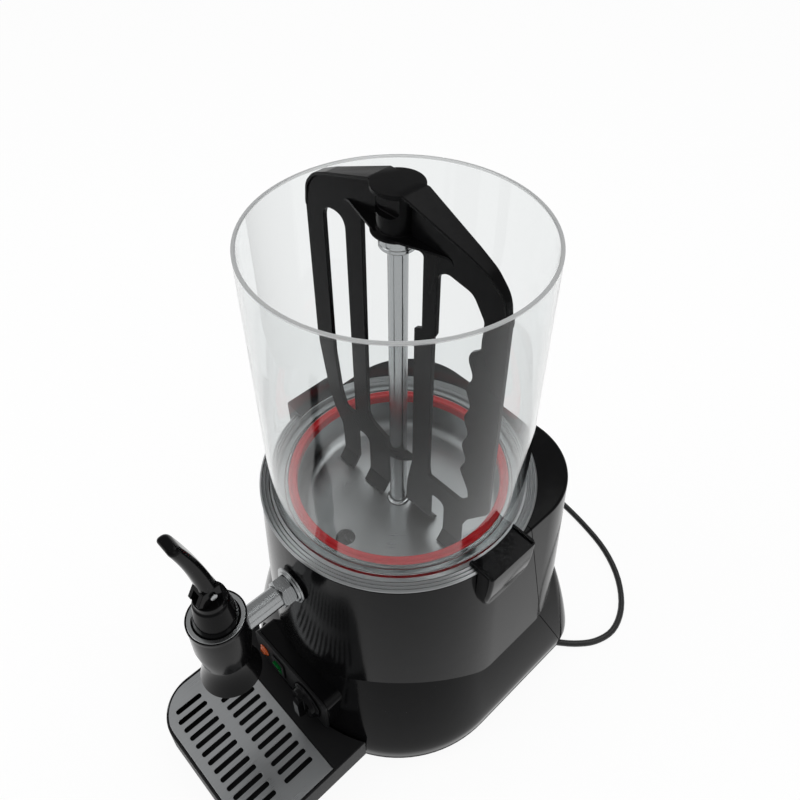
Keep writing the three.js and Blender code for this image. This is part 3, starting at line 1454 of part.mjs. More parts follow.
// The coil's line: it spirals in on the table, climbs where it turns back, and spirals out above itself
function coilLine() {
  const pitch = lead.diameter + coil.play;
  const rest = lead.diameter / 2 + clearance;
  const total = coil.turns * turn;
  const count = Math.round(coil.turns * coil.steps);
  const points = [];
  for (let i = 0; i <= count; i++) {
    const angle = (total * i) / count;
    const past = angle - total / coil.layers;
    const climb = Math.min(Math.max(past / (turn / 2) + 1 / 2, 0), 1);
    const end = Math.max(1 - (total - angle) / (tail.share * turn), 0);
    const radius = coil.radius - (pitch * (total / 2 - Math.abs(past))) / turn + tail.drift * end * end;
    const height = rest + climb * pitch;
    const z = height + (tail.height - height) * end * end;
    const x = coil.x + radius * Math.cos(quarter + angle);
    points.push(new THREE.Vector3(x, coil.y + radius * Math.sin(quarter + angle), z));
  }
  return points;
}

// Adds a straight end of a given length before the first point or after the last
function straightEnds(points, before, after) {
  const last = points.length - 1;
  const first = points[0].clone().sub(points[1]).setZ(0).normalize();
  const final = points[last].clone().sub(points[last - 1]).setZ(0).normalize();
  const line = points.slice();
  line.unshift(points[0].clone().addScaledVector(first, before));
  line.push(points[last].clone().addScaledVector(final, after));
  return line;
}

// The least distance between stretches of a line that lie half a loop or more apart
function leastGap(points) {
  const curve = new THREE.CatmullRomCurve3(points);
  const fine = curve.getSpacedPoints(points.length * 6);
  const apart = (coil.steps * 6) / 2;
  let least = Infinity;
  for (let i = 0; i < fine.length; i++) {
    for (let k = i + apart; k < fine.length; k++) least = Math.min(least, fine[i].distanceTo(fine[k]));
  }
  return least - lead.diameter;
}

function makeLead() {
  const heading = (entry.heading / 360) * turn;
  const ahead = new THREE.Vector3(Math.cos(heading), Math.sin(heading), 0);
  const start = new THREE.Vector3(entry.x, entry.y, gland.height);
  const lying = lead.diameter / 2 + clearance;

  const sleeve = new THREE.CylinderGeometry(gland.tipRadius, gland.radius, gland.length, 16);
  sleeve.translate(0, gland.length / 2 + clearance, 0);
  sleeve.rotateZ(heading - quarter);
  addPiece("lead_gland", solidOf(moved(sleeve, start.x, start.y, start.z)), "rubber");

  const coilPoints = straightEnds(coilLine(), lead.diameter, tail.lead);
  console.log("least gap of the coil to itself", leastGap(coilPoints).toFixed(2), "mm");
  addPiece("lead_coil", solidOf(wound(coilPoints, lead.diameter / 2, coil.sides)), "sleeve");

  const from = start.clone().addScaledVector(ahead, gland.length + 2 * clearance);
  const straight = from.clone().addScaledVector(ahead, 2 * lead.diameter);
  const to = coilPoints[0].clone();
  const inward = coilPoints[0].clone().sub(coilPoints[1]).normalize();
  to.addScaledVector(inward, clearance);
  const before = to.clone().addScaledVector(inward, 2 * lead.diameter);
  const route = leadRoute.map(([x, y]) => new THREE.Vector3(x, y, lying));
  const curve = new THREE.CatmullRomCurve3([from, straight, ...route, before, to]);
  const length = curve.getLength();
  const section = outline(arc(0, 0, lead.diameter / 2, 0, turn - turn / lead.sides, lead.sides - 1));
  const steps = Math.round(length / (lead.spacing * lead.diameter));
  const run = new THREE.ExtrudeGeometry(section, { steps, extrudePath: curve, bevelEnabled: false });
  addPiece("mains_lead", solidOf(run), "sleeve");
  const wounds = new THREE.CatmullRomCurve3(coilPoints).getLength();
  console.log("length of the lead", Math.round(length), "+", Math.round(wounds), "mm");
  makePlug(coilPoints);
}

// A round two pin plug on the lead's end, lying on the table
function makePlug(coilPoints) {
  const last = coilPoints[coilPoints.length - 1];
  const ahead = last.clone().sub(coilPoints[coilPoints.length - 2]);
  const heading = Math.atan2(ahead.y, ahead.x);
  const neckEnd = clearance + plug.neckLength;
  const end = neckEnd + plug.length;
  const profile = [
    [0, clearance],
    [plug.neck, clearance],
    [plug.neck * plugShares.root, neckEnd],
    [plug.radius * plugShares.shoulder, neckEnd + plug.length / 4],
    [plug.radius, neckEnd + plug.length / 2],
    [plug.radius, end - plug.neck / 4],
    [plug.radius - plug.neck / 4, end],
    [0, end],
  ];
  const place = (geometry) => {
    geometry.rotateY(quarter);
    geometry.rotateZ(heading);
    return moved(geometry, last.x, last.y, last.z);
  };
  const half = plug.spacing / 2;
  let body = solidOf(place(revolve(profile, 16)));
  for (const side of [1, -1]) {
    const hole = rod(plug.pinRadius + clearance, end - plug.neck, end + overrun, 12);
    body = body.subtract(solidOf(place(moved(hole, 0, side * half, 0))));
    const pin = rod(plug.pinRadius, end - plug.neck + clearance, end + plug.pinLength, 12);
    const name = side > 0 ? "plug_pin_left" : "plug_pin_right";
    addPiece(name, solidOf(place(moved(pin, 0, side * half, 0))), "steel");
  }
  addPiece("mains_plug", body, "rubber");
}

makeBowl();
makeGasket();
makePan();
makePipe();
makeColumn();
makeShaft();
makeDrive();
makeAgitator();
makeCasing();
makeBase();
makeTray();
makeWallFitting();
makeTapBody();
makeNozzle();
makeBonnet();
makeStem();
makeLever();
makeControls();
makeHeater();
makeLead();

export default machine;
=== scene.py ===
from math import atan2, cos, hypot, pi, radians, sin

import bmesh
import bpy
from mathutils import Matrix, Vector


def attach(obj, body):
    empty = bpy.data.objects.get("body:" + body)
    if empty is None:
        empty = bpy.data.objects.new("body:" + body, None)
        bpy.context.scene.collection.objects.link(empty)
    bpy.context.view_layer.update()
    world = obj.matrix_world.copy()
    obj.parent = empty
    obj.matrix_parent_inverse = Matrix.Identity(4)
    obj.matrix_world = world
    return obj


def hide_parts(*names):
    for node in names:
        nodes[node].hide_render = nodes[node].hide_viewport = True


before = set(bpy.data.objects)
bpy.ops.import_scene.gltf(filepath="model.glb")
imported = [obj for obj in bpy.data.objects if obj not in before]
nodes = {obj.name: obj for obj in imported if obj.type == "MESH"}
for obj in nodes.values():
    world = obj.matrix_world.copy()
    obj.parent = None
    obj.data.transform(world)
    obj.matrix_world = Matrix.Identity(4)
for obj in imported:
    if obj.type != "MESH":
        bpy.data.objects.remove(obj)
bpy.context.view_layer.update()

mm = 0.001
bowlAxisY = 57  # the bowl's axis stands this far behind the frame's middle, in mm
rim = 275  # the pan's flat rim above the table, in mm as every size of a piece is
gap = 0.3  # between pieces that touch
samePoint = 0.001  # corners nearer to each other than this are one
bowl = {"radius": 116, "wall": 3, "height": 256.7, "shoulder": 5, "neckDepth": 5.5}
drain = {"radius": 9, "offset": 66}


# Camera: its place and nearest distance in metres, its lens and sensor in mm

camera = {"place": (0.3378, -0.2614, 0.8394), "looks": (-0.53376, 0.50620, -0.67740), "lens": 35.40,
          "shiftY": -0.05, "sensor": 36, "nearest": 0.05}


def makeCamera():
    data = bpy.data.cameras.new("camera")
    data.sensor_width = camera["sensor"]
    data.lens = camera["lens"]
    data.shift_y = camera["shiftY"]
    data.clip_start = camera["nearest"]
    obj = bpy.data.objects.new("camera", data)
    obj.location = camera["place"]
    obj.rotation_euler = Vector(camera["looks"]).to_track_quat("-Z", "Y").to_euler()
    bpy.context.scene.collection.objects.link(obj)
    bpy.context.scene.camera = obj


makeCamera()


# Materials

finishes = {}


# A colour written as #rrggbb, in Blender's linear values
def linear(code):
    channels = [int(code[i:i + 2], 16) / 255 for i in (1, 3, 5)]
    return (*[c / 12.92 if c <= 0.04045 else ((c + 0.055) / 1.055) ** 2.4 for c in channels], 1)


# A shader node with its settings, and with its inputs linked or set
def addNode(tree, kind, inputs=None, **settings):
    node = tree.nodes.new(kind)
    for key, value in settings.items():
        setattr(node, key, value)
    for socket, value in (inputs or {}).items():
        if isinstance(value, bpy.types.NodeSocket):
            tree.links.new(value, node.inputs[socket])
        else:
            node.inputs[socket].default_value = value
    return node


# A new material with its values, its shader and its coordinates in metres
def newMaterial(name, **surface):
    material = bpy.data.materials.new(name)
    material.use_nodes = True
    tree = material.node_tree
    shader = tree.nodes["Principled BSDF"]
    for key, value in surface.items():
        shader.inputs[key.replace("_", " ")].default_value = value
    finishes[name] = material
    coords = addNode(tree, "ShaderNodeTexCoord").outputs["Object"]
    return tree, shader, coords


# Grain whose size along each axis is given in millimetres
def grain(tree, coords, size, detail=3.0):
    scaled = addNode(tree, "ShaderNodeMapping", {"Vector": coords, "Scale": [1 / (mm * s) for s in size]})
    noise = addNode(tree, "ShaderNodeTexNoise", {"Vector": scaled.outputs["Vector"], "Scale": 1.0,
                                                 "Detail": detail, "Roughness": 0.55})
    return noise.outputs["Fac"]


# Spreads a value over a new range; nearly all of a noise lies between 0.3 and 0.7
def between(tree, value, low, high, start=0.3, end=0.7):
    node = addNode(tree, "ShaderNodeMapRange", {"Value": value, "From Min": start, "From Max": end,
                                                "To Min": low, "To Max": high})
    return node.outputs["Result"]


def tinted(tree, shader, value, dark, light):
    mix = addNode(tree, "ShaderNodeMix", data_type="RGBA")
    tree.links.new(value, mix.inputs[0])
    mix.inputs[6].default_value = linear(dark)
    mix.inputs[7].default_value = linear(light)
    tree.links.new(mix.outputs[2], shader.inputs["Base Color"])


def roughened(tree, shader, value, *spread):
    tree.links.new(between(tree, value, *spread), shader.inputs["Roughness"])


# Relief as deep as the given depth in millimetres
def bumped(tree, shader, value, depth):
    bump = addNode(tree, "ShaderNodeBump", {"Height": value, "Distance": depth * mm, "Strength": 1.0})
    tree.links.new(bump.outputs["Normal"], shader.inputs["Normal"])


# Glossy ABS, injection moulded in a polished tool: deep black with slow waves in its reflections
def glossyAbs():
    tree, shader, coords = newMaterial("polishedBlackAbs", IOR=1.54, Specular_IOR_Level=0.07)
    waves = grain(tree, coords, (14, 14, 14), detail=1.0)
    haze = grain(tree, coords, (1.2, 1.2, 1.2), detail=4.0)
    tinted(tree, shader, waves, "#0c0c0d", "#121213")
    roughened(tree, shader, haze, 0.09, 0.17)
    bumped(tree, shader, waves, 0.05)


# The casing's plastic moulded in a tool with a spark finish: an even satin black
def satinAbs():
    tree, shader, coords = newMaterial("sparkFinishedBlackAbs", IOR=1.54, Specular_IOR_Level=0.15)
    spark = grain(tree, coords, (0.7, 0.7, 0.7), detail=4.0)
    tinted(tree, shader, spark, "#141415", "#1c1c1d")
    roughened(tree, shader, spark, 0.4, 0.55)
    bumped(tree, shader, spark, 0.05)


# Polypropylene agitator: black, smooth, softer in its shine than the casing
def agitatorPlastic():
    tree, shader, coords = newMaterial("mouldedBlackPolypropylene", IOR=1.49, Specular_IOR_Level=0.06)
    flow = grain(tree, coords, (9, 9, 40), detail=1.0)
    haze = grain(tree, coords, (2, 2, 2), detail=2.0)
    tinted(tree, shader, flow, "#0b0b0c", "#121213")
    roughened(tree, shader, haze, 0.16, 0.24)
    bumped(tree, shader, flow, 0.03)


# The haze starts and is full at these depths below the bowl's rim, in mm
rimHaze = {"starts": 2.2, "full": 1.2, "transmission": 0.35, "roughness": 0.3}


# Clear polycarbonate, injection moulded: water white with a faint grey body, and a rim that scatters the
# light, so that the eye sees it as a pale grey line
def clearPolycarbonate():
    tree, shader, coords = newMaterial("clearPolycarbonate", Base_Color=linear("#f0f2f2"), IOR=1.4,
                                      Specular_Tint=linear("#8a8a8a"))
    waves = grain(tree, coords, (40, 40, 60), detail=1.0)
    height = addNode(tree, "ShaderNodeSeparateXYZ", {"Vector": coords}).outputs["Z"]
    span = [(rim + bowl["height"] - rimHaze[key]) * mm for key in ("starts", "full")]
    clear = between(tree, height, 1.0, rimHaze["transmission"], *span)
    tree.links.new(clear, shader.inputs["Transmission Weight"])
    roughened(tree, shader, height, 0.005, rimHaze["roughness"], *span)
    bumped(tree, shader, waves, 0.04)


# Silicone, compression moulded: a warm red that lets a little light in
def redSilicone():
    tree, shader, coords = newMaterial("mouldedRedSilicone", IOR=1.41, Subsurface_Weight=0.25,
                                       Subsurface_Scale=0.004)
    shader.inputs["Subsurface Radius"].default_value = (1.0, 0.25, 0.2)
    cloud = grain(tree, coords, (9, 9, 9), detail=2.0)
    fine = grain(tree, coords, (0.6, 0.6, 0.6), detail=3.0)
    tinted(tree, shader, cloud, "#c4101b", "#dc202b")
    roughened(tree, shader, fine, 0.28, 0.42)
    bumped(tree, shader, fine, 0.03)


def vectorMath(tree, operation, first, second):
    return addNode(tree, "ShaderNodeVectorMath", {0: first, 1: second}, operation=operation)


# Where a point lies from an upright line that stands at y, its level part and that part's length
def fromLine(tree, coords, y):
    middle = vectorMath(tree, "SUBTRACT", coords, (0, y * mm, 0)).outputs[0]
    level = vectorMath(tree, "MULTIPLY", middle, (1, 1, 0)).outputs[0]
    return middle, level, vectorMath(tree, "LENGTH", level, (0, 0, 0)).outputs["Value"]


# Fine lines across an axis, or rings round the bowl's axis for a level face, as a lathe or a spinning tool
# leaves them
def turnedLines(tree, coords, axis, pitch):
    middle, level, along = fromLine(tree, coords, bowlAxisY)
    if axis != "floor":
        along = addNode(tree, "ShaderNodeSeparateXYZ", {"Vector": middle}).outputs[axis]
    scaled = addNode(tree, "ShaderNodeMath", {0: along, 1: 1 / (pitch * mm)}, operation="MULTIPLY")
    lines = addNode(tree, "ShaderNodeTexNoise", {"W": scaled.outputs[0], "Scale": 1.0, "Detail": 3.0,
                                                 "Roughness": 0.6}, noise_dimensions="1D")
    return lines.outputs["Fac"], level


# Turned or brushed stainless steel: its lines draw each highlight out across themselves
def turnedSteel(name, axis, pitch, low, high, dark, light, depth):
    tree, shader, coords = newMaterial(name, Metallic=1.0, Anisotropic=0.65)
    lines, outwards = turnedLines(tree, coords, axis, pitch)
    cloud = grain(tree, coords, (25, 25, 25), detail=2.0)
    tinted(tree, shader, lines, dark, light)
    mean = addNode(tree, "ShaderNodeMix", {0: 0.5, 2: lines, 3: cloud}, data_type="FLOAT")
    roughened(tree, shader, mean.outputs[0], low, high)
    bumped(tree, shader, lines, depth)
    if axis == "floor":
        tree.links.new(outwards, shader.inputs["Tangent"])
        return
    drawn = addNode(tree, "ShaderNodeCombineXYZ", {"X": 0, "Y": float(axis != "Z"), "Z": float(axis == "Z")})
    tree.links.new(drawn.outputs[0], shader.inputs["Tangent"])


# The lines' axis, their pitch in mm, least and most rough, darkest, lightest, and the lines' depth in mm
steels = {
    "spunStainless": ("floor", 0.8, 0.27, 0.32, "#9b9d9e", "#a3a5a6", 0.002),
    "brushedStainlessSheet": ("X", 0.7, 0.26, 0.38, "#97999b", "#b4b6b7", 0.02),
    "groundStainlessUpright": ("Z", 0.8, 0.15, 0.19, "#a4a6a7", "#adafb0", 0.001),
    "groundStainlessLying": ("Y", 0.8, 0.22, 0.3, "#8e9091", "#aaacad", 0.008),
}
# painted shade in the pipe's upright bore: full nearer its axis than the first distance, gone beyond the
# second
paintedBoreShade = {"dark": 8.2, "bright": 8.8}  # distances from the bore's axis in mm


# The outlet pipe: ground outside, with painted shade inside its upright bore: a near black colour where the
# hole lies in shadow, so that the drain is a dark disc
def boredPipe():
    turnedSteel("groundPipePaintedShadeBore", *steels["groundStainlessLying"])
    tree = finishes["groundPipePaintedShadeBore"].node_tree
    shader = tree.nodes["Principled BSDF"]
    coords = tree.nodes["Texture Coordinate"].outputs["Object"]
    away = fromLine(tree, coords, bowlAxisY - drain["offset"])[2]
    # painted shade: the colour turns near black inside the bore, where the real steel only lies in shadow
    inside = between(tree, away, 1.0, 0.0, paintedBoreShade["dark"] * mm, paintedBoreShade["bright"] * mm)
    colour = shader.inputs["Base Color"].links[0].from_socket
    mix = addNode(tree, "ShaderNodeMix", {0: inside, 6: colour, 7: linear("#1b1a19")}, data_type="RGBA")
    tree.links.new(mix.outputs[2], shader.inputs["Base Color"])


# Mild steel, zinc plated: grey with a cloudy bluish bloom
def zincPlate():
    tree, shader, coords = newMaterial("zincPlatedSteel", Metallic=1.0)
    cloud = grain(tree, coords, (8, 8, 8), detail=4.0)
    tinted(tree, shader, cloud, "#8b9096", "#b4b7ba")
    roughened(tree, shader, cloud, 0.3, 0.45)
    bumped(tree, shader, cloud, 0.03)


# Plain parts of the inside, the feet and the lead: yellow brass with a soft shine, ivory nylon, brown mica
# like card, dull rubber and a smooth black cable, each with its own grain
def plainFinishes():
    plain = {  # darkest, lightest, least and most rough, metal or not, refraction, grain and relief in mm
        "machinedBrass": ("#b8934a", "#cfae66", 0.2, 0.35, 1.0, 1.5, 3.0, 0.02),
        "naturalNylon": ("#d8d0bb", "#e6e0cf", 0.4, 0.5, 0.0, 1.53, 1.5, 0.03),
        "pressedMica": ("#8a7b64", "#a5977e", 0.45, 0.65, 0.0, 1.58, 2.5, 0.08),
        "mouldedBlackRubber": ("#161616", "#202020", 0.55, 0.75, 0.0, 1.52, 0.9, 0.06),
        "extrudedBlackPvc": ("#141415", "#1c1c1d", 0.32, 0.45, 0.0, 1.53, 1.2, 0.03),
    }
    for name, (dark, light, low, high, metallic, ior, size, depth) in plain.items():
        tree, shader, coords = newMaterial(name, Metallic=metallic)
        if not metallic:
            shader.inputs["IOR"].default_value = ior
        value = grain(tree, coords, (size, size, size), detail=3.0)
        tinted(tree, shader, value, dark, light)
        roughened(tree, shader, value, low, high)
        bumped(tree, shader, value, depth)


# Tinted acrylic of the rocker and the lamp: a strong green and an amber, glossy, with light in their depth
def tintedAcrylics():
    acrylics = {"tintedGreenAcrylic": ("#0f7a34", "#1c9a48"), "tintedAmberAcrylic": ("#c8480c", "#e8701c")}
    for name, (dark, light) in acrylics.items():
        tree, shader, coords = newMaterial(name, IOR=1.49, Transmission_Weight=0.35)
        value = grain(tree, coords, (2, 2, 2), detail=2.0)
        tinted(tree, shader, value, dark, light)
        roughened(tree, shader, value, 0.08, 0.16)


glossyAbs()
satinAbs()
agitatorPlastic()
clearPolycarbonate()
redSilicone()
zincPlate()
plainFinishes()
tintedAcrylics()
for name, looks in steels.items():
    turnedSteel(name, *looks)
boredPipe()
print("materials", len(finishes))


# Modelling tools

# Turns a piece round an axis through the origin, then shifts it
def place(bm, shift=(0, 0, 0), turn=0, axis="Z"):
    matrix = Matrix.Translation(shift) @ Matrix.Rotation(radians(turn), 4, axis)
    bmesh.ops.transform(bm, matrix=matrix, verts=bm.verts)
    return bm


def bevelled(bm, geom, width, segments, affect="EDGES", clamp=False):
    bmesh.ops.bevel(bm, geom=geom, offset=width, offset_type="OFFSET", segments=segments, profile=0.5,
                    affect=affect, clamp_overlap=clamp, material=-1)


def sharpEdges(bm, angle):
    return [e for e in bm.edges if len(e.link_faces) == 2 and e.calc_face_angle(0) > radians(angle)]


# Rounds the edges that turn by more than the angle, or those of them whose middle passes the test
def softEdges(bm, width, segments=3, angle=30, test=None):
    edges = [e for e in sharpEdges(bm, angle) if not test or test((e.verts[0].co + e.verts[1].co) / 2)]
    bevelled(bm, edges, width, segments, clamp=True)
    return bm


# Spins a closed profile of (radius, height) round the upright axis
def lathe(profile, steps):
    bm = bmesh.new()
    verts = [bm.verts.new((radius, 0, z)) for radius, z in profile]
    edges = [bm.edges.new(pair) for pair in zip(verts, verts[1:] + verts[:1])]
    bmesh.ops.spin(bm, geom=verts + edges, cent=(0, 0, 0), axis=(0, 0, 1), angle=2 * pi, steps=steps,
                   use_merge=True)
    bmesh.ops.remove_doubles(bm, verts=bm.verts, dist=samePoint)
    bmesh.ops.dissolve_degenerate(bm, edges=bm.edges, dist=samePoint / 2)
    bmesh.ops.delete(bm, geom=[e for e in bm.edges if not e.link_faces], context="EDGES")
    bmesh.ops.recalc_face_normals(bm, faces=bm.faces)
    return bm


# A face from corners of (x, y, radius), rounded by a vertex bevel
def roundedFace(bm, corners, z=0.0, segments=8):
    verts = [bm.verts.new((x, y, z)) for x, y, radius in corners]
    bm.faces.new(verts)
    for vert, (x, y, radius) in zip(verts, corners):
        if radius:
            bevelled(bm, [vert], radius, segments, "VERTICES")


# An upright solid on a face of (x, y, radius) corners, from one height to another
def prism(corners, low, high, segments=8):
    bm = bmesh.new()
    roundedFace(bm, corners, low, segments)
    made = bmesh.ops.extrude_face_region(bm, geom=list(bm.faces))
    moved = [v for v in made["geom"] if isinstance(v, bmesh.types.BMVert)]
    bmesh.ops.translate(bm, vec=(0, 0, high - low), verts=moved)
    bmesh.ops.recalc_face_normals(bm, faces=bm.faces)
    return bm


def box(x0, x1, y0, y1, z0, z1):
    return prism([(x0, y0, 0), (x1, y0, 0), (x1, y1, 0), (x0, y1, 0)], z0, z1)


def rod(radius, low, high, steps=64):
    return lathe([(0, low), (radius, low), (radius, high), (0, high)], steps)


# Turns a piece made upright so that its length runs along +Y from the bowl's axis
def lying(bm, height):
    return place(bm, (0, 0, height), -90, "X")


# A turned piece with its sharp edges rounded
def turned(profile, steps, width, segments=3, angle=30):
    return softEdges(lathe(profile, steps), width, segments, angle)


# Joins rings of corners at rising heights, and leaves the first and last closed
def loft(rings, segments=8):
    bm = bmesh.new()
    loops, faces = [], []
    for corners, z in rings:
        before = set(bm.edges)
        roundedFace(bm, corners, z, segments)
        loops.append([e for e in bm.edges if e not in before])
        faces.append(loops[-1][0].link_faces[0])
    bmesh.ops.delete(bm, geom=faces[1:-1], context="FACES_ONLY")
    for lower, upper in zip(loops, loops[1:]):
        bmesh.ops.bridge_loops(bm, edges=lower + upper)
    bmesh.ops.recalc_face_normals(bm, faces=bm.faces)
    return bm


# Joins rings of points, one after another, and closes the two ends
def bridged(rings):
    bm = bmesh.new()
    loops = []
    for i, ring in enumerate(rings):
        verts = [bm.verts.new(point) for point in ring]
        loops.append([bm.edges.new(pair) for pair in zip(verts, verts[1:] + verts[:1])])
        if i in (0, len(rings) - 1):
            bm.faces.new(verts)
    for near, far in zip(loops, loops[1:]):
        bmesh.ops.bridge_loops(bm, edges=near + far)
    bmesh.ops.recalc_face_normals(bm, faces=bm.faces)
    return bm


def linked(bm, name):
    mesh = bpy.data.meshes.new(name)
    bm.to_mesh(mesh)
    bm.free()
    obj = bpy.data.objects.new(name, mesh)
    bpy.context.scene.collection.objects.link(obj)
    return obj


# Cuts, joins or keeps the common part of a solid and others, one after another
def combine(bm, others, operation="DIFFERENCE"):
    for other in others:
        target, tool = linked(bm, "target"), linked(other, "tool")
        cut = target.modifiers.new("cut", "BOOLEAN")
        cut.object = tool
        cut.operation = operation
        cut.solver = "EXACT"
        made = target.evaluated_get(bpy.context.evaluated_depsgraph_get())
        bm = bmesh.new()
        bm.from_mesh(made.to_mesh())
        made.to_mesh_clear()
        for obj in (target, tool):
            mesh = obj.data
            bpy.data.objects.remove(obj)
            bpy.data.meshes.remove(mesh)
        bmesh.ops.remove_doubles(bm, verts=bm.verts, dist=samePoint)
    return bm


# Puts a finished piece in the frame, on its body, in place of the nodes it stands for
def keep(bm, name, body, finish, *stands, sharp=32):
    toFrame = Matrix.Translation((0, bowlAxisY * mm, 0)) @ Matrix.Scale(mm, 4)
    bmesh.ops.transform(bm, matrix=toFrame, verts=bm.verts)
    obj = linked(bm, name)
    obj.data.materials.append(finishes[finish])
    obj.data.shade_smooth()
    obj.data.set_sharp_from_angle(angle=radians(sharp))
    flat = obj.modifiers.new("flat faces", "WEIGHTED_NORMAL")  # keeps a wide face flat beside its soft edge
    flat.keep_sharp = True
    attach(obj, body)
    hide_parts(*stands)
    return obj


# Mains lead

lead = {"diameter": 7, "glandHeight": 5.6, "entry": (112, 80), "heading": 45, "glandLength": 22,
        "glandRadius": 5.2, "glandTip": 4.2, "lying": 3.8, "hidden": 2, "play": 0.05}
glandRib = {"count": 6, "share": 0.62, "depth": 0.8}  # the sleeve's ribs, with flexing grooves between them
leadRoute = [(157, 124), (171, 143), (177, 168), (168, 198), (143, 228), (108, 250), (65, 263), (15, 271),
             (-40, 275)]
coil = {"x": -105, "y": 225, "radius": 50, "turns": 4.25, "layers": 2, "steps": 24, "play": 0.7,
        "tailShare": 0.17, "drift": 15, "height": 16.6, "tail": 7.5}


# The coil spirals in on the table, climbs, and spirals out above itself
def coilLine():
    pitch = lead["diameter"] + coil["play"]
    total = coil["turns"] * 2 * pi
    count = round(coil["turns"] * coil["steps"])
    points = []
    for i in range(count + 1):
        angle = total * i / count
        past = angle - total / coil["layers"]
        climb = min(max(past / pi + 0.5, 0), 1)
        end = max(1 - (total - angle) / (coil["tailShare"] * 2 * pi), 0)
        radius = coil["radius"] - pitch * (total / 2 - abs(past)) / (2 * pi) + coil["drift"] * end * end
        height = lead["lying"] + climb * pitch
        z = height + (coil["height"] - height) * end * end
        points.append(Vector((coil["x"] - radius * sin(angle), coil["y"] + radius * cos(angle), z)))
    first = (points[0] - points[1]) * Vector((1, 1, 0))
    last = (points[-1] - points[-2]) * Vector((1, 1, 0))
    return [points[0] + first.normalized() * lead["diameter"], *points,
            points[-1] + last.normalized() * coil["tail"]]


# A smooth line through the points, with each stretch paced by the root of its length
def smoothLine(points, steps):
    line = []
    ends = [2 * points[0] - points[1], *points, 2 * points[-1] - points[-2]]
    for p0, p1, p2, p3 in zip(ends, ends[1:], ends[2:], ends[3:]):
        d0, d1, d2 = ((b - a).length ** 0.5 for a, b in ((p0, p1), (p1, p2), (p2, p3)))
        start = ((p1 - p0) / d0 - (p2 - p0) / (d0 + d1) + (p2 - p1) / d1) * d1
        end = ((p2 - p1) / d1 - (p3 - p1) / (d1 + d2) + (p3 - p2) / d2) * d1
        for i in range(steps):
            t = i / steps
            line.append(p1 + start * t + (3 * (p2 - p1) - 2 * start - end) * t * t
                        + (2 * (p1 - p2) + start + end) * t ** 3)
    return [*line, points[-1]]


def makeLead():
    heading = radians(lead["heading"])
    ahead = Vector((cos(heading), sin(heading), 0))
    start = Vector((*lead["entry"], lead["glandHeight"]))
    coilPoints = coilLine()
    leaves = start + ahead * (lead["glandLength"] + 2 * gap)
    inward = (coilPoints[0] - coilPoints[1]).normalized()
    route = [Vector((x, y, lead["lying"])) for x, y in leadRoute]
    points = [start + ahead * lead["hidden"], leaves, leaves + ahead * 2 * lead["diameter"], *route,
              coilPoints[0] + inward * (gap + 2 * lead["diameter"]), *coilPoints[1:]]
    line = [(p + Vector((0, bowlAxisY, 0))) * mm for p in smoothLine(points, 4)]
    curve = bpy.data.curves.new("mainsLead", "CURVE")
    curve.dimensions = "3D"
    curve.bevel_depth = lead["diameter"] / 2 * mm
    curve.bevel_resolution = 4
    curve.use_fill_caps = True
    spline = curve.splines.new("POLY")
    spline.points.add(len(line) - 1)
    for point, co in zip(spline.points, line):
        point.co = (*co, 1)
    cable = bpy.data.objects.new("mainsLead", curve)
    bpy.context.scene.collection.objects.link(cable)
    curve.materials.append(finishes["extrudedBlackPvc"])
    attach(cable, "machine")
    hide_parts("mains_lead", "lead_coil")

    pieces = [makeGland(start), *makePlug(coilPoints)]


# The sleeve round the lead where it leaves the base, thinner rib by rib
def makeGland(start):
    radius, tip, reach = lead["glandRadius"], lead["glandTip"], lead["glandLength"]
    inner, ribs = lead["diameter"] / 2 + lead["play"], glandRib["count"]
    profile = [(inner, 0)]
    for i in range(ribs):
        low, high = reach * i / ribs, reach * (i + glandRib["share"]) / ribs
        size = radius + (tip - radius) * i / ribs
        waist = size - glandRib["depth"]
        profile += [(size, low + gap), (size, high), (waist, high), (waist, reach * (i + 1) / ribs)]
    profile.append((inner, reach))
    sleeve = turned(profile, 40, 0.2, 2)
    place(place(sleeve, turn=90, axis="Y"), turn=lead["heading"])
    return keep(place(sleeve, start), "leadGland", "machine", "mouldedBlackRubber", "lead_gland")


plug = {"radius": 16, "length": 34, "neck": 5, "neckSwell": 1.3, "neckLength": 20, "waist": 0.8,
        "pinRadius": 2.4, "pinLength": 19, "spacing": 19}


# A round two pin plug on a slim neck, lying at the height of the coil's end
def makePlug(coilPoints):
    last = coilPoints[-1]
    ahead = last - coilPoints[-2]
    heading = atan2(ahead.y, ahead.x) * 180 / pi
    neckEnd = gap + plug["neckLength"]
    end = neckEnd + plug["length"]
    radius = plug["radius"]
    body = turned([
        (0, gap), (plug["neck"], gap), (plug["neck"] * plug["neckSwell"], neckEnd),
        (radius * plug["waist"], neckEnd + plug["length"] / 4), (radius, neckEnd + plug["length"] / 2),
        (radius, end), (0, end),
    ], 64, 1.2, 4, 8)
    sides = {side: (0, side * plug["spacing"] / 2, 0) for side in (1, -1)}
    deep = end - plug["neck"]
    for spot in sides.values():
        body = combine(body, [place(rod(plug["pinRadius"] + gap, deep, end + 5, 24), spot)])

    def lay(bm):
        return place(place(place(bm, turn=90, axis="Y"), turn=heading), last)

    pieces = [keep(lay(body), "mainsPlug", "machine", "mouldedBlackRubber", "mains_plug")]
    for side, name, node in ((1, "plugPinLeft", "plug_pin_left"), (-1, "plugPinRight", "plug_pin_right")):
        pin = softEdges(rod(plug["pinRadius"], deep + gap, end + plug["pinLength"], 32), 0.9, 4)
        pieces.append(keep(lay(place(pin, sides[side])), name, "machine", "groundStainlessLying", node))
    return pieces


makeLead()


# Bowl, gasket and pan

gasket = {"radius": 101, "width": 8, "depth": 5, "crown": 4}
pan = {"sheet": 1.2, "rimRadius": 126.8, "beads": 3, "beadHeight": 1.3, "beadWidth": 3.2, "depth": 38.5}
well = {"radius": 95, "upstand": 2.4, "corner": 12, "trough": 6.3}
panFloor = rim - pan["depth"]
panUnder = panFloor - pan["sheet"]


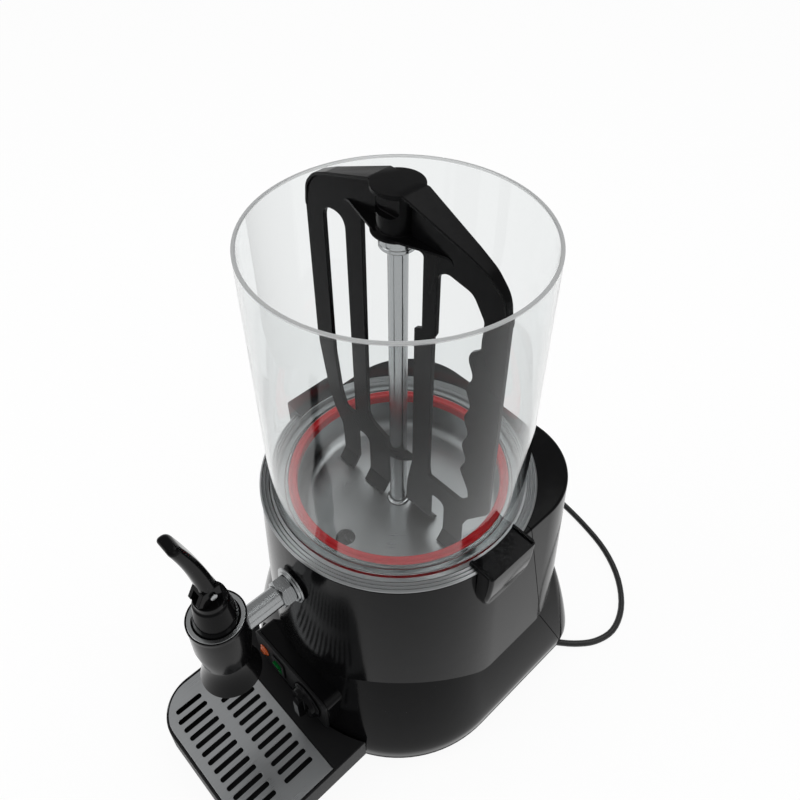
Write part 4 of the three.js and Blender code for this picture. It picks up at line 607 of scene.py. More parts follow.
def quarterArc(x, z, radius, start, end, steps):
    return [(x + radius * cos(radians(start + (end - start) * i / steps)),
             z + radius * sin(radians(start + (end - start) * i / steps))) for i in range(steps + 1)]


def makeBowl():
    inner = gasket["radius"] + gap
    neck = inner + bowl["wall"]
    inside = bowl["radius"] - bowl["wall"]
    seat = rim + gap
    top = rim + bowl["height"]
    bend = bowl["shoulder"]
    profile = [
        (inner, rim - bowl["neckDepth"]), (neck, rim - bowl["neckDepth"]), (neck, seat),
        *quarterArc(bowl["radius"] - bend, seat + bend, bend, -90, 0, 8),
        (bowl["radius"], top), (inside, top),
        *quarterArc(inside - bend, seat + bowl["wall"] + bend, bend, 0, -90, 8),
        (inner, seat + bowl["wall"]),
    ]
    keep(turned(profile, 192, 0.9, 4, 40), "clearBowl", "bowl", "clearPolycarbonate", "bowl")


def makeGasket():
    outer, inner = gasket["radius"], gasket["radius"] - gasket["width"]
    top, foot = rim + gasket["crown"], rim - gasket["depth"]
    upIn, upOut = well["radius"] - gap, well["radius"] + well["upstand"] + gap
    profile = [(upOut, foot), (outer, foot), (outer, top - 1.2), (outer - 1.5, top), (outer - 3, top - 0.9),
               (inner + 2.6, top - 0.9), (inner + 1.2, top), (inner, top - 1.4), (inner, foot), (upIn, foot),
               (upIn, rim + gap), (upOut, rim + gap)]
    keep(turned(profile, 128, 0.45, 3, 25), "bowlGasket", "machine", "mouldedRedSilicone", "bowl_gasket")


def makePan():
    outer = pan["rimRadius"]
    inner = outer - pan["beads"] * pan["beadWidth"]
    trough = gasket["radius"] + bowl["wall"] + 3 * gap
    troughTop = rim - well["trough"]
    under = rim - pan["sheet"]
    count = 12 * pan["beads"]
    beads = []
    for i in range(count + 1):
        wave = (1 - cos(2 * pi * pan["beads"] * i / count)) / 2
        beads.append((outer - (outer - inner) * i / count, rim + pan["beadHeight"] * wave))
    corner, hole, inside = well["corner"], column["radius"] + gap, well["radius"]
    outside, upstand, troughUnder = inside + pan["sheet"], inside + well["upstand"], troughTop - pan["sheet"]
    profile = [
        (hole, panUnder), *quarterArc(outside - corner, panUnder + corner, corner, -90, 0, 8),
        (outside, troughUnder), (trough + pan["sheet"], troughUnder), (trough + pan["sheet"], under),
        (outer, under), *beads, (trough, rim), (trough, troughTop), (upstand, troughTop), (upstand, rim),
        (inside, rim), *quarterArc(inside - corner, panFloor + corner, corner, 0, -90, 8), (hole, panFloor),
    ]
    drainHole = place(rod(drain["radius"], panUnder - 5, panFloor + 5, 48), (0, -drain["offset"], 0))
    bm = combine(turned(profile, 180, 0.5, 3, 50), [drainHole])
    keep(bm, "spunPan", "machine", "spunStainless", "steel_pan")


# Column, bush and shaft

column = {"radius": 7.75, "bore": 5.4, "height": 247.2, "flange": 11, "shank": 12}
bush = {"radius": 14.2, "height": 13.6, "sunk": 0.3, "chamfer": 1.6, "step": 0.6, "stepHeight": 4.6}
notch = {"count": 6, "first": 15, "halfWidth": 1.6, "depth": 1.4, "foot": 5}
shaft = {"radius": 4.7, "top": 288}


def makeColumn():
    radius, bore, flangeEdge = column["radius"], column["bore"], column["flange"]
    low, top = panFloor + gap, rim + column["height"]
    foot = low - column["shank"]
    profile = [(bore, foot), (radius, foot), (radius, low), (flangeEdge, low), (flangeEdge - 1, low + 1.4),
               (radius + 0.6, low + 2), (radius, low + 3.2), (radius, top), (bore, top)]
    keep(turned(profile, 72, 0.4), "agitatorColumn", "machine", "groundStainlessUpright", "agitator_column")


# The steel bush that turns with the agitator on the column's top, with notches round its upper half
def makeBush():
    top = rim + column["height"]
    low, high, size, hole = top - bush["sunk"], top + bush["height"], bush["radius"], shaft["radius"] + gap
    stepped, stepTop = size - bush["step"], low + bush["stepHeight"]
    profile = [(hole, low), (size - bush["chamfer"], low), (size, low + bush["chamfer"]),
               (size, stepTop - bush["step"]), (stepped, stepTop), (stepped, high), (hole, high)]
    cuts = []
    for i in range(notch["count"]):
        cut = box(-notch["halfWidth"], notch["halfWidth"], size - notch["depth"], size + 5,
                  low + notch["foot"], high + 5)
        cuts.append(softEdges(place(cut, turn=360 / notch["count"] * i + notch["first"]), 0.4, 2))
    ring = combine(turned(profile, 96, 0.3), cuts)
    keep(ring, "columnBush", "agitator", "groundStainlessUpright", "column_bush")


makeBowl()
makeGasket()
makePan()
makeColumn()
makeBush()
print("bowl, gasket, pan and column")


# Agitator

blade = {"thickness": 4, "radius": 105.5, "leftRadius": 103.2, "elbow": 38}
arm = {"top": 298, "root": 20, "rootWidth": 23, "web": 2.6, "taper": 1.25, "over": 0.4, "edge": 0.3,
       "footWeb": 2.2}
armStations = [(6, 261.6, 17), (17, 261.6, 13.5), (49, 262, 3.4), (53.5, 261, 2.6), (56, 257.5, 2.2)]
hub = {"radius": 15.5, "cap": 19.6, "capHeight": 3.5, "flange": 20, "flangeHeight": 3.4, "foot": 261}
pocket = {"halfWidth": 12, "height": 16, "corner": 5.5, "floor": 9.5}
toe = {"rise": 11, "reach": 8, "floorGap": 1.5}
guide = {"bore": 8.8, "wall": 2.6, "height": 4.4, "bottom": 31, "right": 20, "left": 13.7}
pinSlot = {"halfLength": 7.8, "halfWidth": 2.3, "top": 268.3}


# Corners with small arcs put in where a radius is given
def filleted(corners, steps=6):
    points = []
    count = len(corners)
    for i, (x, z, radius) in enumerate(corners):
        here = Vector((x, z))
        if not radius:
            points.append(here)
            continue
        back = Vector(corners[i - 1][:2]) - here
        on = Vector(corners[(i + 1) % count][:2]) - here
        half = back.angle(on) / 2
        reach = min(radius / max(abs(sin(half) / cos(half)), 0.05), back.length * 0.49, on.length * 0.49)
        a, b = here + back.normalized() * reach, here + on.normalized() * reach
        for k in range(steps + 1):
            t = k / steps
            points.append(a * (1 - t) ** 2 + here * 2 * t * (1 - t) + b * t * t)
    return points


# A flat sheet between an outline and its holes, lying level, with its rims bevelled
def sheet(loops, thickness, edge, segments=2):
    curve = bpy.data.curves.new("sheet", "CURVE")
    curve.dimensions = "2D"
    curve.fill_mode = "BOTH"
    for loop in loops:
        spline = curve.splines.new("POLY")
        spline.points.add(len(loop) - 1)
        for point, (x, y) in zip(spline.points, loop):
            point.co = (x, y, 0, 1)
        spline.use_cyclic_u = True
    curve.extrude = thickness / 2
    holder = bpy.data.objects.new("sheet", curve)
    mesh = bpy.data.meshes.new_from_object(holder)
    bm = bmesh.new()
    bm.from_mesh(mesh)
    bpy.data.objects.remove(holder)
    bpy.data.curves.remove(curve)
    bpy.data.meshes.remove(mesh)
    bmesh.ops.remove_doubles(bm, verts=bm.verts, dist=samePoint)
    bmesh.ops.recalc_face_normals(bm, faces=bm.faces)
    bmesh.ops.dissolve_limit(bm, angle_limit=radians(0.3), verts=bm.verts, edges=bm.edges)
    level = 10 * samePoint
    rims = [e for e in sharpEdges(bm, 60) if abs(e.verts[0].co.z - e.verts[1].co.z) < level]
    bevelled(bm, rims, edge, segments)
    return bm


# The same standing in the x-z plane
def plate(loops, thickness, edge, segments=2):
    return place(sheet(loops, thickness, edge, segments), turn=90, axis="X")


# The blade's edge from the hub along the arm, round its corner and down
def bladeEdge(side):
    reach = blade["radius"] if side > 0 else blade["leftRadius"]
    return [(side * hub["radius"], 296.6, 0), (side * 69.7, 278.8, 60), (side * 88, 270.6, 30),
            (side * (reach - 3.5), 258, 24), (side * reach, 240, 12)]


scallop = {"middle": 76.2, "depth": 2.3, "pitch": 30.3, "foot": 69, "top": 197, "steps": 48}


# Both blades' common outline, the left one's slot and the right one's window with its scalloped edge
def bladeLoops():
    floor = toe["floorGap"] + toe["rise"] - pan["depth"]
    outer = [
        *bladeEdge(1), (blade["radius"], blade["elbow"], 8), (85.5, 12, 5), (79, -4, 7),
        (79, floor, 0.8), (59.3, floor, 0.8), (59.3, 9, 8.6), (42, 9, 8.6), (42, floor, 0.8),
        (12, floor, 0.8),
        (13.5, 2, 2), (19.4, 34, 3), (19.4, 184, 1.5), (27.2, 188, 2), (27.2, 254, 3),
        (12, 256, 0), (-12, 256, 0), (-37, 254, 3), (-38.5, 47, 6), (-30.5, 40, 5), (-12.3, 34, 5),
        (-12.3, floor, 0.8), (-37.5, floor, 0.8), (-37.5, 16, 8.7), (-55, 16, 8.7), (-55, floor, 0.8),
        (-75, floor, 0.8), (-76.5, 6, 3),
        (-87.2, 22, 4), (-95.2, 47, 8), (-103.2, 94, 20), *bladeEdge(-1)[::-1],
    ]
    slot = [(-82, 246, 12.8), (-82, 94, 20), (-77, 52, 8), (-71, 34, 3), (-60, 32.5, 2), (-56.2, 35.5, 2),
            (-56.2, 246, 12.8)]
    window = [(38.5, 40.5, 2), (40, 29.5, 2), (76.2, 29.5, 4), (84.7, 40.5, 4), (83.5, 50, 3)]
    for i in range(scallop["steps"] + 1):
        rise = (scallop["top"] - scallop["foot"]) * i / scallop["steps"]
        wave = scallop["depth"] * cos(2 * pi * rise / scallop["pitch"])
        window.append((scallop["middle"] - wave, scallop["foot"] + rise, 0))
    window += [(84, 204, 2), (84, 214, 3), (85.5, 229, 8), (74, 246, 12), (50, 250, 10), (41.3, 244, 8),
               (41.3, 190, 2), (38.5, 184, 2)]
    return [filleted(outer), filleted(slot), filleted(window)]


# One arm's roof: a wide sloping web that narrows from the hub and runs out round the blade's corner
def armRoof(side):
    line = [Vector((side * x, arm["top"])) for x in (hub["radius"] / 2, arm["root"] - 1)]
    edge = bladeEdge(side)
    end = edge[-1][1] - 4
    edge += [(edge[-1][0], end, 0), (0, end, 0)]
    line += [q for q in filleted(edge, 8) if abs(q.x) > arm["root"] + 8 and q.y >= end]
    lengths = [0] + [(b - a).length for a, b in zip(line, line[1:])]
    root, tip = arm["rootWidth"] / 2, blade["thickness"] / 2 + arm["edge"]
    rings, along = [], 0
    for i, here in enumerate(line):
        ahead = (line[min(i + 1, len(line) - 1)] - line[max(i - 1, 0)]).normalized()
        outward = Vector((-ahead.y, ahead.x)) * side
        along += lengths[i] if i > 1 else 0
        share = along / sum(lengths[2:])
        wide = (1 - share) ** arm["taper"]
        half = root * wide + tip * (1 - wide)
        over = here + outward * (arm["over"] if i > 1 else 0)
        under = over - outward * arm["web"]
        rings.append([(over.x, -half, over.y), (over.x, half, over.y), (under.x, half, under.y),
                      (under.x, -half, under.y)])
    return softEdges(bridged(rings), 0.6, 2, angle=35)


# The narrower web under each arm, from the hub's flange to the end of its gusset
def armFoot(side):
    rings = []
    for x, low, half in armStations:
        high = low + arm["footWeb"]
        rings.append([(side * x, y, z) for y, z in ((-half, low), (half, low), (half, high), (-half, high))])
    return softEdges(bridged(rings), 0.5, 2, angle=35)


# Stands a prism on its side, so that its plan faces along the x axis
def across(bm):
    bmesh.ops.rotate(bm, matrix=Matrix(((0, 0, 1), (1, 0, 0), (0, 1, 0))), verts=bm.verts)
    return bm


def bentToe(inner, outer, reach):
    low, half = toe["floorGap"] - pan["depth"], blade["thickness"] / 2
    bend, top = low + toe["rise"], low + toe["rise"] + half
    side = [(reach - half, low, 0), (reach + half, low, 0), (half, bend, 0), (half, top, 0), (-half, top, 0),
            (-half, bend, 0)]
    return softEdges(across(prism(side, inner, outer)), 0.5, 2, angle=40)


# The clip that holds the blades on the column, open to one side
def guideClip():
    half, bore = blade["thickness"] / 2, guide["bore"]
    size = bore + guide["wall"]
    corner = size - 0.4
    plan = [(-size, -size, corner), (size, -size, corner), (guide["right"], half, 0),
            (-guide["left"], half, 0)]
    ring = prism(plan, guide["bottom"], guide["bottom"] + guide["height"], 16)
    return combine(ring, [rod(bore, 0, 60), box(-bore, bore, 0, 9, 0, 60)])


def makeAgitator():
    foot, top, radius = hub["foot"], arm["top"], hub["radius"]
    under = top - hub["capHeight"]
    reach = toe["reach"]
    parts = [armRoof(1), armRoof(-1), armFoot(1), armFoot(-1), bentToe(-75, -55, -reach),
             bentToe(-37.5, -12.3, -reach), bentToe(12, 42, reach), bentToe(59.3, 79, -reach)]
    profile = [(0, foot), (hub["flange"], foot), (hub["flange"], foot + 1.8),
               (radius, foot + hub["flangeHeight"]), (radius, under), (hub["cap"], under), (hub["cap"], top),
               (0, top)]
    parts.append(turned(profile, 96, 0.6, 3, 20))
    parts.append(guideClip())
    body = combine(plate(bladeLoops(), blade["thickness"], 0.5), parts, "UNION")
    long, wide = pinSlot["halfLength"], pinSlot["halfWidth"]
    slot = box(-long, long, -wide, wide, foot - 5, pinSlot["top"])
    half, deep, corner = pocket["halfWidth"], pocket["height"], pocket["corner"]
    recess = prism([(-half, -deep, corner), (half, -deep, corner), (half, 0, 0), (-half, 0, 0)],
                   pocket["floor"], 30, 12)
    recess = place(place(softEdges(recess, 0.8, 3), turn=90, axis="X"), (0, 0, under - 1))
    body = combine(body, [rod(shaft["radius"] + gap, foot - 5, shaft["top"] + gap), slot, recess])
    keep(place(body, (0, 0, rim)), "agitatorFrame", "agitator", "mouldedBlackPolypropylene", "agitator")


makeAgitator()
print("agitator")


# Casing

casing = {"wall": 2.6, "halfWidth": 126, "back": 148, "rearCorner": 72.3, "lean": 0.04, "edge": 2.5,
          "foot": 14.3, "top": 273.5, "crease": 0.5, "creaseDepth": 0.9}
hip = {"halfWidth": 147.6, "front": 147.3, "back": 138, "rearCorner": 35.3, "frontCorner": 127, "tuck": 4.5,
       "tuckTop": 39}
shoulder = {"top": 190, "foot": 25, "inset": 52, "swell": 1.17, "fall": 1.33}
seam = {"top": 38.7, "lean": 0.204, "turn": 93, "footLean": 0.42, "groove": 0.4, "reach": 170}


# How far the upper ring's front and sides stand from the bowl's axis at a height
def frontWall(z):
    return casing["halfWidth"] + (casing["top"] - z) * casing["lean"]


def upperRing(z, inset):
    half = frontWall(z) - inset
    corner = casing["rearCorner"] + half - casing["halfWidth"]
    back = casing["back"] - casing["lean"] * (z - casing["foot"]) - inset
    front = half * 0.9999
    return [(-half, -half, front), (half, -half, front), (half, back, corner), (-half, back, corner)], z


# The hip's plan at a height: full at the foot, drawn in along a long curve towards the shoulder
def hipRing(z, inset):
    t = min(max((z - shoulder["foot"]) / (shoulder["top"] - shoulder["foot"]), 0), 0.999)
    low = max(hip["tuckTop"] - z, 0) / hip["tuckTop"]
    drawn = inset + shoulder["inset"] * (1 - (1 - t ** shoulder["swell"]) ** (1 / shoulder["fall"]))
    drawn += hip["tuck"] * low * low
    half, front, back = hip["halfWidth"] - drawn, hip["front"] - drawn, hip["back"] - drawn
    fore, rear = hip["frontCorner"] - drawn, max(hip["rearCorner"] - drawn, 2.6)
    return [(-half, -front, fore), (half, -front, fore), (half, back, rear), (-half, back, rear)], z


# The upper ring, with a rounded top edge on the outer form
def upperForm(inset, low, high, corners):
    rings = [upperRing(low, inset), upperRing(high if inset else high - casing["edge"], inset)]
    if not inset:
        for i in (1, 2, 3, 4):
            tilt = radians(22.5 * i)
            rings.append(upperRing(high - casing["edge"] * (1 - sin(tilt)), casing["edge"] * (1 - cos(tilt))))
    return loft(rings, corners)


def hipForm(inset, low, steps, corners):
    levels = [low, 20] + [shoulder["foot"] + 140 * i / steps for i in range(steps + 1)]
    return loft([hipRing(z, inset) for z in levels], corners)


# The upper and the lower form, with a fine groove where they meet
def casingBody():
    low, high, corners = casing["foot"], casing["top"], 48
    upper = combine(upperForm(0, low, high, corners), [hipForm(-casing["crease"], low - 5, 40, corners)])
    core = upperForm(casing["creaseDepth"], low, high - 5, corners)
    return combine(core, [upper, hipForm(0, low, 40, corners)], "UNION")


# The room inside the casing
def casingRoom(inset):
    low, high = casing["foot"] - 5, casing["top"] - inset
    return combine(upperForm(inset, low, high, 16), [hipForm(inset, low, 16, 16)], "UNION")


# Everything behind the raking seam between the two shells
def seamRegion(shift):
    reach, high = seam["reach"], casing["top"] + 10
    turnY = shift + seam["top"] + seam["lean"] * (casing["top"] - seam["turn"])
    points = [(shift + seam["top"] - 10 * seam["lean"], high), (turnY, seam["turn"]),
              (turnY + seam["footLean"] * seam["turn"], 0), (reach, 0), (reach, high)]
    return across(prism([(y, z, 0) for y, z in points], -reach, reach))


ear = {"halfWidth": 28, "reach": 139.5, "rise": 4, "drop": 57, "innerRadius": 117.6, "foot": 131.5,
       "edge": 3.5, "ridge": 2.2, "ridgeWidth": 3, "ridgeInset": 0.4, "round": 2.5, "tip": 3.2,
       "rimCover": 2.4, "steps": 14}


# A block beside the bowl whose outer face hangs down as a round tongue
def makeEar(side):
    top = rim + ear["rise"]
    half, full = ear["halfWidth"], ear["drop"]
    inner = ear["innerRadius"] - 8
    drops = [0.3, 8, 16, 24, full - half]
    drops += [full - half * (1 - sin(pi / 2 * i / ear["steps"])) for i in range(1, ear["steps"] + 1)]
    rings = []
    for drop in drops:
        below = max(drop - full + half, 0) / half
        width = max(half * (1 - below ** ear["round"]) ** (1 / ear["round"]), ear["tip"])
        out = ear["reach"] + (ear["foot"] - ear["reach"]) * (drop / full) ** 2
        soft = min(ear["edge"], width * 0.9)
        plan = [(inner, -width, 0), (out, -width, soft), (out, width, soft), (inner, width, 0)]
        rings.append((plan, top - drop))
    ridges = []
    for sign in (1, -1):
        y, wide = sign * (half - ear["ridgeWidth"] / 2 - ear["ridgeInset"]), ear["ridgeWidth"] / 2
        ridge = box(inner, ear["reach"] - 2, y - wide, y + wide, top - 3, top + ear["ridge"])
        ridges.append(softEdges(ridge, 0.9))
    bm = combine(loft(rings, 6), ridges, "UNION")
    low = top - full - 23  # well below the tongue
    room = rod(ear["innerRadius"], low, top + 20, 160)
    rimRoom = rod(pan["rimRadius"] + 2 * gap, low, top - ear["rimCover"], 160)
    bm = combine(bm, [room, rimRoom])
    return bm if side > 0 else place(bm, turn=180)


panel = {"width": 112, "height": 46, "depth": 3, "middle": 74, "corner": 8, "face": 148.5, "padBack": -111,
         "padRoomBack": -106}
throughFront = (-160, -100)  # from before the casing's front wall to behind it
throughBack = (128, 153)  # from inside the casing's back wall to behind it
knob = {"x": 28, "radius": 17, "skirt": 20, "height": 14, "skirtHeight": 3, "grip": 7, "shaft": 3,
        "hole": 6, "panelHole": 3.6}
rocker = {"x": -18, "width": 13, "height": 19, "border": 3.4, "proud": 1.8, "depth": 22, "swing": 10}
lamp = {"x": -42, "radius": 5.4, "bezel": 7, "proud": 3.2, "depth": 18}
vent = {"slots": 8, "length": 84, "height": 4, "corner": 1.95, "pitch": 9.5, "lowest": 96}
pipe = {"radius": 10, "bore": 8, "height": 225, "stubFoot": 4.3, "boreFoot": 3.1, "boreStep": 0.4}


# Corners of a rectangle with round corners about (x, z)
def roundedBox(width, height, corner, x, z):
    w, h = width / 2, height / 2
    return [(x - w, z - h, corner), (x + w, z - h, corner), (x + w, z + h, corner), (x - w, z + h, corner)]


# Stands a prism drawn in x and z so that its depth runs from one y to another
def standing(corners, front, back, segments=8):
    return place(prism(corners, -back, -front, segments), turn=90, axis="X")


def rockerWindow():
    return roundedBox(rocker["width"] + 2 * gap, rocker["height"] + 2 * gap, 0, rocker["x"], panel["middle"])


def makeCasing():
    outer = casingBody()
    wall, middle = casing["wall"], panel["middle"]
    padFront = -(panel["face"] - panel["depth"] - gap)
    width, height, corner = panel["width"], panel["height"], panel["corner"]
    pad = standing(roundedBox(width, height, corner, 0, middle), padFront, panel["padBack"])
    padRoom = standing(roundedBox(width - 2 * wall, height - 2 * wall, corner - wall, 0, middle),
                       padFront + wall, panel["padRoomBack"])
    holes = [
        casingRoom(wall),
        rod(gasket["radius"] + bowl["wall"] + 8, 150, casing["top"] + 5, 128),
        lying(rod(pipe["radius"] + gap, *throughFront, 48), pipe["height"]),
        padRoom,
        place(lying(rod(lamp["radius"] + gap, *throughFront, 32), middle), (lamp["x"], 0, 0)),
        place(lying(rod(knob["hole"], *throughFront, 32), middle), (knob["x"], 0, 0)),
        standing(rockerWindow(), *throughFront),
    ]
    for i in range(vent["slots"]):
        height = vent["lowest"] + i * vent["pitch"]
        slot = roundedBox(vent["length"], vent["height"], vent["corner"], 0, height)
        holes.append(standing(slot, *throughBack, 4))
    shell = combine(combine(outer, [pad], "UNION"), holes)
    rearShell = combine(shell.copy(), [seamRegion(seam["groove"])], "INTERSECT")
    frontShell = combine(shell, [seamRegion(-seam["groove"])])
    frontShell = combine(frontShell, [makeEar(1), makeEar(-1)], "UNION")
    keep(frontShell, "frontCasing", "machine", "polishedBlackAbs", "front_shell", sharp=24)
    keep(rearShell, "rearCasing", "machine", "polishedBlackAbs", "rear_shell", sharp=24)


makeCasing()
print("casing")


# Base, feet, tray and grid

base = {"front": 252, "halfWidth": 80, "corner": 34, "top": 14, "foot": 11, "tongueBack": -60}
footShape = {"radius": 15, "taper": 2, "rear": (92, 108), "front": (58, -196)}
tray = {"halfWidth": 88, "front": 262, "corner": 42, "height": 30, "wall": 2.4, "floor": 2.4, "rimStep": 3}
grid = {"sheet": 1.5, "play": 0.6, "back": 166, "margin": 9, "bar": 11}
gridSlot = {"width": 5, "pitch": 10.5, "count": 13, "cornerShare": 0.65}


def makeBase():
    low, high = base["foot"], base["top"]
    plans = [hipRing(casing["foot"], 0)[0], upperRing(casing["foot"], 0)[0]]
    slabs = [prism(plan, low, high, 24) for plan in plans]
    half, front, corner = base["halfWidth"], base["front"], base["corner"]
    back = base["tongueBack"]
    tongue = prism([(-half, -front, corner), (half, -front, corner), (half, back, 0), (-half, back, 0)],
                   low, high, 16)
    boss = place(place(box(-16, 0, -8, 8, 2, high), turn=lead["heading"]), (*lead["entry"], 0))
    body = combine(slabs[0], [slabs[1], tongue, boss], "UNION")
    bmesh.ops.dissolve_limit(body, angle_limit=radians(1), verts=body.verts, edges=body.edges)
    softEdges(body, 0.6, 2, angle=60)
    keep(body, "basePlate", "machine", "sparkFinishedBlackAbs", "base_plate")
    radius, taper, top = footShape["radius"], footShape["taper"], base["foot"] - gap
    profile = [(0, 0), (radius - taper, 0), (radius, taper), (radius - taper, top), (0, top)]
    for end, (x, y) in (("Rear", footShape["rear"]), ("Front", footShape["front"])):
        for side, sign in (("Left", -1), ("Right", 1)):
            rubber = place(turned(profile, 48, 0.6), (sign * x, y, 0))
            node = "foot_" + end.lower() + "_" + side.lower()
            keep(rubber, "foot" + end + side, "machine", "mouldedBlackRubber", node)


# The tray's plan, drawn in by an inset, with round corners at the front
def trayPlan(inset, low, high, back=-100.0):
    half, corner, front = tray["halfWidth"] - inset, tray["corner"] - inset, tray["front"] - inset
    return prism([(-half, -front, corner), (half, -front, corner), (half, back, 0), (-half, back, 0)],
                 low, high, 20)


def makeTray():
    bottom = base["top"] + gap
    top = bottom + tray["height"]
    ledge = top - grid["sheet"] - gap
    outer = trayPlan(0, bottom, top)
    softEdges(outer, 1.2, 3, angle=60, test=lambda p: p.z > top - 1)
    softEdges(outer, 3, 4, angle=60, test=lambda p: p.z < bottom + 1)
    floor = bottom + tray["floor"]
    basin = trayPlan(tray["wall"] + tray["rimStep"], floor, top + 5, -grid["back"] - tray["rimStep"])
    softEdges(basin, 3, 4, angle=60, test=lambda p: p.z < floor + 1)
    step = trayPlan(tray["wall"], ledge, top + 5, -grid["back"])
    room = prism(hipRing(shoulder["foot"], -3 * gap)[0], 0, 100, 24)  # the tray's back follows the casing
    body = combine(outer, [basin, step, room])
    keep(body, "dripTray", "drip_tray", "sparkFinishedBlackAbs", "drip_tray")
    makeGrid(ledge + gap + grid["sheet"] / 2)


# A sheet with two rows of slots that get shorter towards the tray's round corners
def makeGrid(middle):
    inset = tray["wall"] + grid["play"]
    half, front, corner = tray["halfWidth"] - inset, tray["front"] - inset, tray["corner"] - inset
    back = -(grid["back"] + grid["play"])
    outline = [(-half, -front, corner), (half, -front, corner), (half, back, 1), (-half, back, 1)]
    loops = [filleted(outline, 20)]
    slotBack, slotFront = -(grid["back"] + grid["margin"]), -(tray["front"] - grid["margin"] - tray["wall"])
    rowLength = (slotBack - slotFront - grid["bar"]) / 2
    w = gridSlot["width"] / 2
    for i in range(gridSlot["count"]):
        x = (i - (gridSlot["count"] - 1) / 2) * gridSlot["pitch"]
        short = max(abs(x) / (tray["halfWidth"] - tray["wall"]) - gridSlot["cornerShare"], 0) * tray["corner"]
        for low, high in ((slotFront + short, slotFront + rowLength), (slotBack - rowLength, slotBack)):
            loops.append(filleted([(x - w, low, w), (x + w, low, w), (x + w, high, w), (x - w, high, w)], 6))
    body = place(sheet(loops, grid["sheet"], 0.3), (0, 0, middle))
    keep(body, "dripGrid", "drip_grid", "brushedStainlessSheet", "drip_grid")


makeBase()
makeTray()
print("base and tray")


# Outlet and tap

flange = {"radius": 18, "thickness": 4, "stepRadius": 15.4, "step": 1.8, "nutAcross": 25, "nutLength": 12}
tap = {"y": -202, "rim": 25, "top": 260, "barrel": 24.4, "waist": 21.6, "waistHeight": 204, "recess": 3}
skirt = {"radius": 27, "bottom": 172, "wall": 2.4, "roof": 186}
valve = {"bore": 14, "seat": 197, "seatBore": 8, "plunger": 12.4, "plungerHeight": 7, "lift": 5}
nozzle = {"radius": 13, "mouth": 11, "bottom": 156, "collar": 15.5, "collarHeight": 3}
tapRing = {"inner": 19.8, "height": 2.4}
bonnet = {"foot": 19.2, "crown": 15, "top": 291.5, "stepHeight": 7, "stepRadius": 13.6}
stem = {"radius": 3.4, "overPin": 3.6}
lever = {"heel": 8, "width": 15, "back": 7.5, "length": 76, "lean": 9, "grip": 22, "gripDepth": 10,
         "pull": 60}
leverPin = {"radius": 1.7, "head": 3, "headHeight": 1.6}
leverPivot = bonnet["top"] + lever["heel"] + gap


def makePipe():
    back = -drain["offset"] + pipe["radius"] + pan["sheet"]
    front = tap["y"] + tap["barrel"] - pipe["bore"] / 2
    stubTop = panUnder - gap
    height = pipe["height"]
    # each round is turned a little, so that no two of their edges meet
    stub = rod(drain["radius"] + pan["sheet"] / 2, height - pipe["stubFoot"], stubTop, 48)
    stub = place(stub, (0, -drain["offset"], 0), 2.3)
    run = lying(place(rod(pipe["bore"], front - 20, back - pan["sheet"], 48), turn=1.4), height)
    bore = rod(pipe["bore"] - pipe["boreStep"], height - pipe["boreFoot"], stubTop + 5, 48)
    bore = place(bore, (0, -drain["offset"], 0), 3.2)
    outer = lying(place(rod(pipe["radius"], front, back, 72), turn=0.9), height)
    tube = combine(outer, [stub], "UNION")
    inside = combine(run, [bore], "UNION")
    keep(combine(tube, [inside]), "outletPipe", "machine", "groundPipePaintedShadeBore", "outlet_pipe")


def makeWallFitting():
    wallFace = -frontWall(pipe["height"] - flange["radius"]) - gap
    front = wallFace - flange["thickness"]
    hole = pipe["radius"] + gap
    radius, step, stepTop = flange["radius"], flange["stepRadius"], front + flange["step"]
    ring = turned([(hole, front), (step, front), (step, stepTop), (radius, stepTop), (radius, wallFace),
                   (hole, wallFace)], 96, 0.7, 4)
    keep(lying(ring, pipe["height"]), "pipeFlange", "machine", "groundStainlessLying", "pipe_flange")
    nutBack = front - gap
    nutFront = nutBack - flange["nutLength"]
    flat = flange["nutAcross"] / 2
    corner = flat / cos(pi / 6)
    plan = [(corner * cos(pi / 3 * i), corner * sin(pi / 3 * i), 0) for i in range(6)]
    hexagon = prism(plan, nutFront, nutBack)
    outer = corner + 0.2
    chamfered = lathe([(0, nutFront), (flat - 0.3, nutFront), (outer, nutFront + 2), (outer, nutBack - 1.4),
                       (flat + 0.2, nutBack), (0, nutBack)], 96)
    nut = combine(combine(hexagon, [chamfered], "INTERSECT"), [rod(hole, nutFront - 5, nutBack + 5, 64)])
    nut = lying(softEdges(nut, 0.25, 2), pipe["height"])
    keep(nut, "pipeNut", "machine", "groundStainlessLying", "pipe_nut")


# Puts a piece that stands upright about the tap's axis in its place
def keepTap(bm, name, body, finish, node):
    keep(place(bm, (0, tap["y"], 0)), name, body, finish, node)


recessFoot = tap["top"] - tap["recess"]
ringFoot = recessFoot + gap
ringTop = ringFoot + tapRing["height"]


